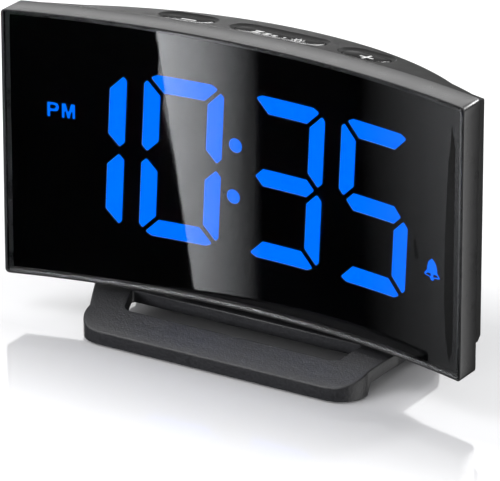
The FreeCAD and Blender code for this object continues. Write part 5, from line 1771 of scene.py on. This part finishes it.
@dataclass
class Studio:
    """Table, sky, lights, reflector cards and camera, with places in metres.

    Attributes:
        aim_back: the camera's backward axis.
        aim_right: its right axis.
        aim_up: its upward axis.
        camera_at: its place.
        focal: its focal length in millimetres.
        sensor: its sensor's width in millimetres.
        ambient: strength of the sky for matt surfaces.
        gloss_strength: strength of the sky for glossy ones.
        floor_glow: level of the low glow at the reader's right, that edges facing there show.
        sky_steps: ramp places and levels from low to high.
        card_back: direction from the lens to the cards.
        card_at: middle of the plane that the cards lie in.
        shade_patch_front: Y of the front edge of the table's patch of painted shade, fading from bare to
            full.
        shade_patch_back: Y of its back edge, from full to bare.
    """

    aim_back: Point = (0.48604, -0.78771, 0.37849)
    aim_right: Point = (0.85103, 0.52511, 0.0)
    aim_up: Point = (-0.19875, 0.32211, 0.92560)
    camera_at: Point = (0.84840, -1.37994, 0.69724)
    focal: float = 400.53
    sensor: float = 36.0
    ambient: float = 0.72
    gloss_strength: float = 2.6
    floor_glow: float = 0.9
    sky_steps: tuple[Flat, ...] = ((0.20, 0.0), (0.30, 0.02), (0.42, 0.08), (0.52, 0.60), (0.60, 0.90),
                                   (0.72, 0.5), (0.90, 0.22), (0.99, 0.45))
    card_back: Point = (-0.39274654, -0.84336639, -0.36671964)
    card_at: Point = (-0.41047, -0.84948, -0.30965)
    # Edges of the table patch round the stand: its colour is painted darker as the clock's painted shade, and
    # its surface is glossier.
    shade_patch_front: Flat = (-0.085, -0.028)
    shade_patch_back: Flat = (0.05, 0.10)

    def table(self) -> None:
        """Make the pale table: glossy round the stand, with its colour painted darker there as painted shade
        of the clock, and matt further off.
        """
        bpy.ops.mesh.primitive_plane_add(size=14.0, location=(0, 0, TABLE_Z))
        table = bpy.context.object
        table.name = "table"
        made = bpy.data.materials.new("table_finish")
        made.use_nodes = True
        graph = Graph(made.node_tree)
        haze = graph.noise(60.0, 2.0)
        place = graph.node("ShaderNodeSeparateXYZ", Vector=graph.where())
        # Mask of the patch, full from just in front of the stand to behind the clock: it darkens the colour
        # as painted shade and raises the gloss.
        front = graph.spread(place.outputs["Y"], 0.0, 1.0, *self.shade_patch_front)
        back = graph.spread(place.outputs["Y"], 1.0, 0.0, *self.shade_patch_back)
        near = graph.times(front, back)
        matt = graph.mix(haze, (0.93, 0.93, 0.935, 1), (0.945, 0.945, 0.95, 1))
        # Painted shade: the patch's colour is about half the bare table's, standing in for the clock's shade
        # under and in front of it.
        shaded_gloss = graph.mix(haze, (0.50, 0.50, 0.515, 1), (0.515, 0.515, 0.53, 1))
        shader = graph.node("ShaderNodeBsdfPrincipled", Base_Color=graph.mix(near, matt, shaded_gloss),
                            Roughness=graph.spread(haze, 0.05, 0.08), Specular_IOR_Level=near)
        out = graph.node("ShaderNodeOutputMaterial")
        made.node_tree.links.new(shader.outputs["BSDF"], out.inputs["Surface"])
        table.data.materials.append(made)
        table.visible_glossy = table.visible_transmission = False

    def sky(self) -> None:
        """Wrap the scene in soft white, with a brighter band and two low glows for its gloss."""
        world = bpy.data.worlds.new("studio")
        bpy.context.scene.world = world
        world.use_nodes = True
        graph = Graph(world.node_tree)
        ray = graph.node("ShaderNodeLightPath")
        heading = graph.node("ShaderNodeTexCoord").outputs["Generated"]
        way = graph.node("ShaderNodeSeparateXYZ", Vector=heading).outputs
        rise = graph.node("ShaderNodeValToRGB", Fac=graph.spread(way["Z"], 0.0, 1.0, -0.2, 0.8))
        ramp = rise.color_ramp
        for element, (place, level) in zip(ramp.elements, (self.sky_steps[0], self.sky_steps[-1])):
            element.position, element.color = place, shade(WHITE, level)
        for place, level in self.sky_steps[1:-1]:
            ramp.elements.new(place).color = shade(WHITE, level)
        beside = graph.times(graph.spread(way["X"], 0.0, 1.0, 0.42, 0.9),
                             graph.spread(way["Y"], 0.0, 1.0, -0.6, -0.1))
        floor = graph.times(graph.spread(way["Z"], 1.0, 0.0, -0.12, -0.02), beside)
        tone = graph.mix(floor, rise.outputs["Color"], shade(WHITE, self.floor_glow))
        left = graph.times(graph.spread(way["X"], 1.0, 0.0, -0.60, -0.50),
                           graph.spread(way["Z"], 1.0, 0.0, -0.02, 0.04))
        glint = graph.times(left, graph.spread(way["Y"], 0.0, 1.0, 0.45, 0.55))
        tone = graph.mix(glint, tone, shade(WHITE, 1.0))
        shine = graph.node("ShaderNodeBackground", Color=tone, Strength=self.gloss_strength)
        soft = graph.node("ShaderNodeBackground", Color=shade(WHITE, 1.0), Strength=self.ambient)
        seen = graph.node("ShaderNodeBackground", Color=shade(WHITE, 1.0), Strength=1.0)
        first = graph.node("ShaderNodeMixShader", i0=ray.outputs["Is Diffuse Ray"], i1=shine.outputs[0],
                           i2=soft.outputs[0])
        second = graph.node("ShaderNodeMixShader", i0=ray.outputs["Is Camera Ray"], i1=first.outputs[0],
                            i2=seen.outputs[0])
        out = graph.node("ShaderNodeOutputWorld")
        world.node_tree.links.new(second.outputs[0], out.inputs["Surface"])

    def card(self, name: str, corners: Sequence[Flat], levels: Sequence[float], curve: float) -> None:
        """Hang a glowing card that only reflections under the lens show.

        Args:
            name: its name.
            corners: its corners on the card plane: low start, low end, high end, high start.
            levels: glow at its low edge and at its high edge.
            curve: power of the fade from the start side to the end side.
        """
        across = Vector(self.card_back).cross(Vector((0, 0, 1))).normalized()
        up = across.cross(Vector(self.card_back)).normalized()
        maker = MeshMaker()
        places: list[Flat] = []
        rows = []
        for high in between(0.0, 1.0, 8):
            row = []
            for share in between(0.0, 1.0, 24):
                low_point = [a + (b - a) * share for a, b in zip(corners[0], corners[1])]
                high_point = [a + (b - a) * share for a, b in zip(corners[3], corners[2])]
                u, v = (a + (b - a) * high for a, b in zip(low_point, high_point))
                row.append((Vector(self.card_at) + across * u + up * v) / MM)
                places.append((share, high))
            rows.append(maker.ring(row))
        for first, second in zip(rows, rows[1:]):
            maker.bridge(first, second, closed=False)
        thing = maker.build(name)
        glow = thing.data.attributes.new("glow", "FLOAT", "POINT")
        low_level, high_level = levels
        values = [(low_level + (high_level - low_level) * high) * (1 - share) ** curve
                  for share, high in places]
        glow.data.foreach_set("value", values)
        made = bpy.data.materials.new(name + "_finish")
        made.use_nodes = True
        graph = Graph(made.node_tree)
        read = graph.node("ShaderNodeAttribute", {"attribute_name": "glow"})
        shine = graph.node("ShaderNodeEmission", Color=shade(WHITE, 1.0), Strength=read.outputs["Fac"])
        out = graph.node("ShaderNodeOutputMaterial")
        made.node_tree.links.new(shine.outputs[0], out.inputs["Surface"])
        thing.data.materials.append(made)
        thing.visible_camera = thing.visible_diffuse = False
        thing.visible_glossy = thing.visible_shadow = False

    def lamp(self, name: str, at: Point, aim: Point, size: Flat, power: float, glossy: bool = True) -> None:
        """Hang an area lamp.

        Args:
            name: its name.
            at: its place in metres.
            aim: the point that it faces.
            size: its width and height.
            power: its power in watts.
            glossy: whether reflections show it.
        """
        data = bpy.data.lights.new(name, "AREA")
        data.shape, data.size, data.size_y, data.energy = "RECTANGLE", size[0], size[1], power
        lamp = bpy.data.objects.new(name, data)
        bpy.context.scene.collection.objects.link(lamp)
        lamp.location = at
        lamp.rotation_mode = "QUATERNION"
        lamp.rotation_quaternion = (Vector(at) - Vector(aim)).to_track_quat("Z", "Y")
        lamp.visible_glossy = glossy
        lamp.visible_camera = False

    def camera(self) -> None:
        """Set the camera up."""
        data = bpy.data.cameras.new("camera")
        data.lens, data.sensor_width, data.sensor_fit = self.focal, self.sensor, "HORIZONTAL"
        data.clip_start, data.clip_end = 0.01, 50.0
        camera = bpy.data.objects.new("camera", data)
        bpy.context.scene.collection.objects.link(camera)
        turn = Matrix((self.aim_right, self.aim_up, self.aim_back)).transposed().to_4x4()
        camera.matrix_world = Matrix.Translation(self.camera_at) @ turn
        bpy.context.scene.camera = camera

    def build(self) -> None:
        """Make the whole studio."""
        self.table()
        self.sky()
        self.card("band_card", ((0.0209, -0.12), (0.115, -0.12), (0.115, 0.12), (-0.1135, 0.12)),
                  (1.7, 9.0), 1.3)
        self.card("edge_card", ((1.3, -0.35), (0.34, -0.20), (0.34, 0.10), (1.3, 0.2)), (1.0, 5.0), 1.1)
        self.lamp("key", (-0.7, -0.5, 1.3), (0, 0, 0.05), (0.9, 0.9), 10.0)
        self.lamp("kicker", (0.49, 1.02, 0.63), (0.08, -0.02, 0.1), (0.35, 0.35), 5.5)
        self.lamp("skimmer", (-0.74, 1.08, 0.03), (0.0, 0.0, 0.1), (0.3, 0.08), 0.5)
        self.lamp("front", (-0.35, -1.0, 0.14), (0.0, -0.02, 0.02), (0.5, 0.2), 19.0, glossy=False)
        self.camera()
        bpy.context.scene.view_settings.view_transform = "Standard"


def main() -> None:
    """Build the clock piece by piece, then the studio."""
    logging.basicConfig(level=logging.INFO, format="%(name)s: %(message)s")
    wardrobe = Wardrobe()
    keys = [TopButton("minus", -1, 17.0), TopButton("snooze", 0, 32.0), TopButton("plus", 1, 17.0)]
    Display().build(wardrobe)
    LOG.info("display built")
    for key in keys:
        key.build(wardrobe)
        LOG.info("%s key built", key.body)
    Housing().build(wardrobe, keys)
    LOG.info("housing built")
    RearFittings().build(wardrobe)
    LOG.info("rear fittings built")
    Stand().build(wardrobe)
    LOG.info("stand built")
    Works().build(wardrobe)
    LOG.info("works dressed")
    Studio().build()


if __name__ == "__main__":
    main()
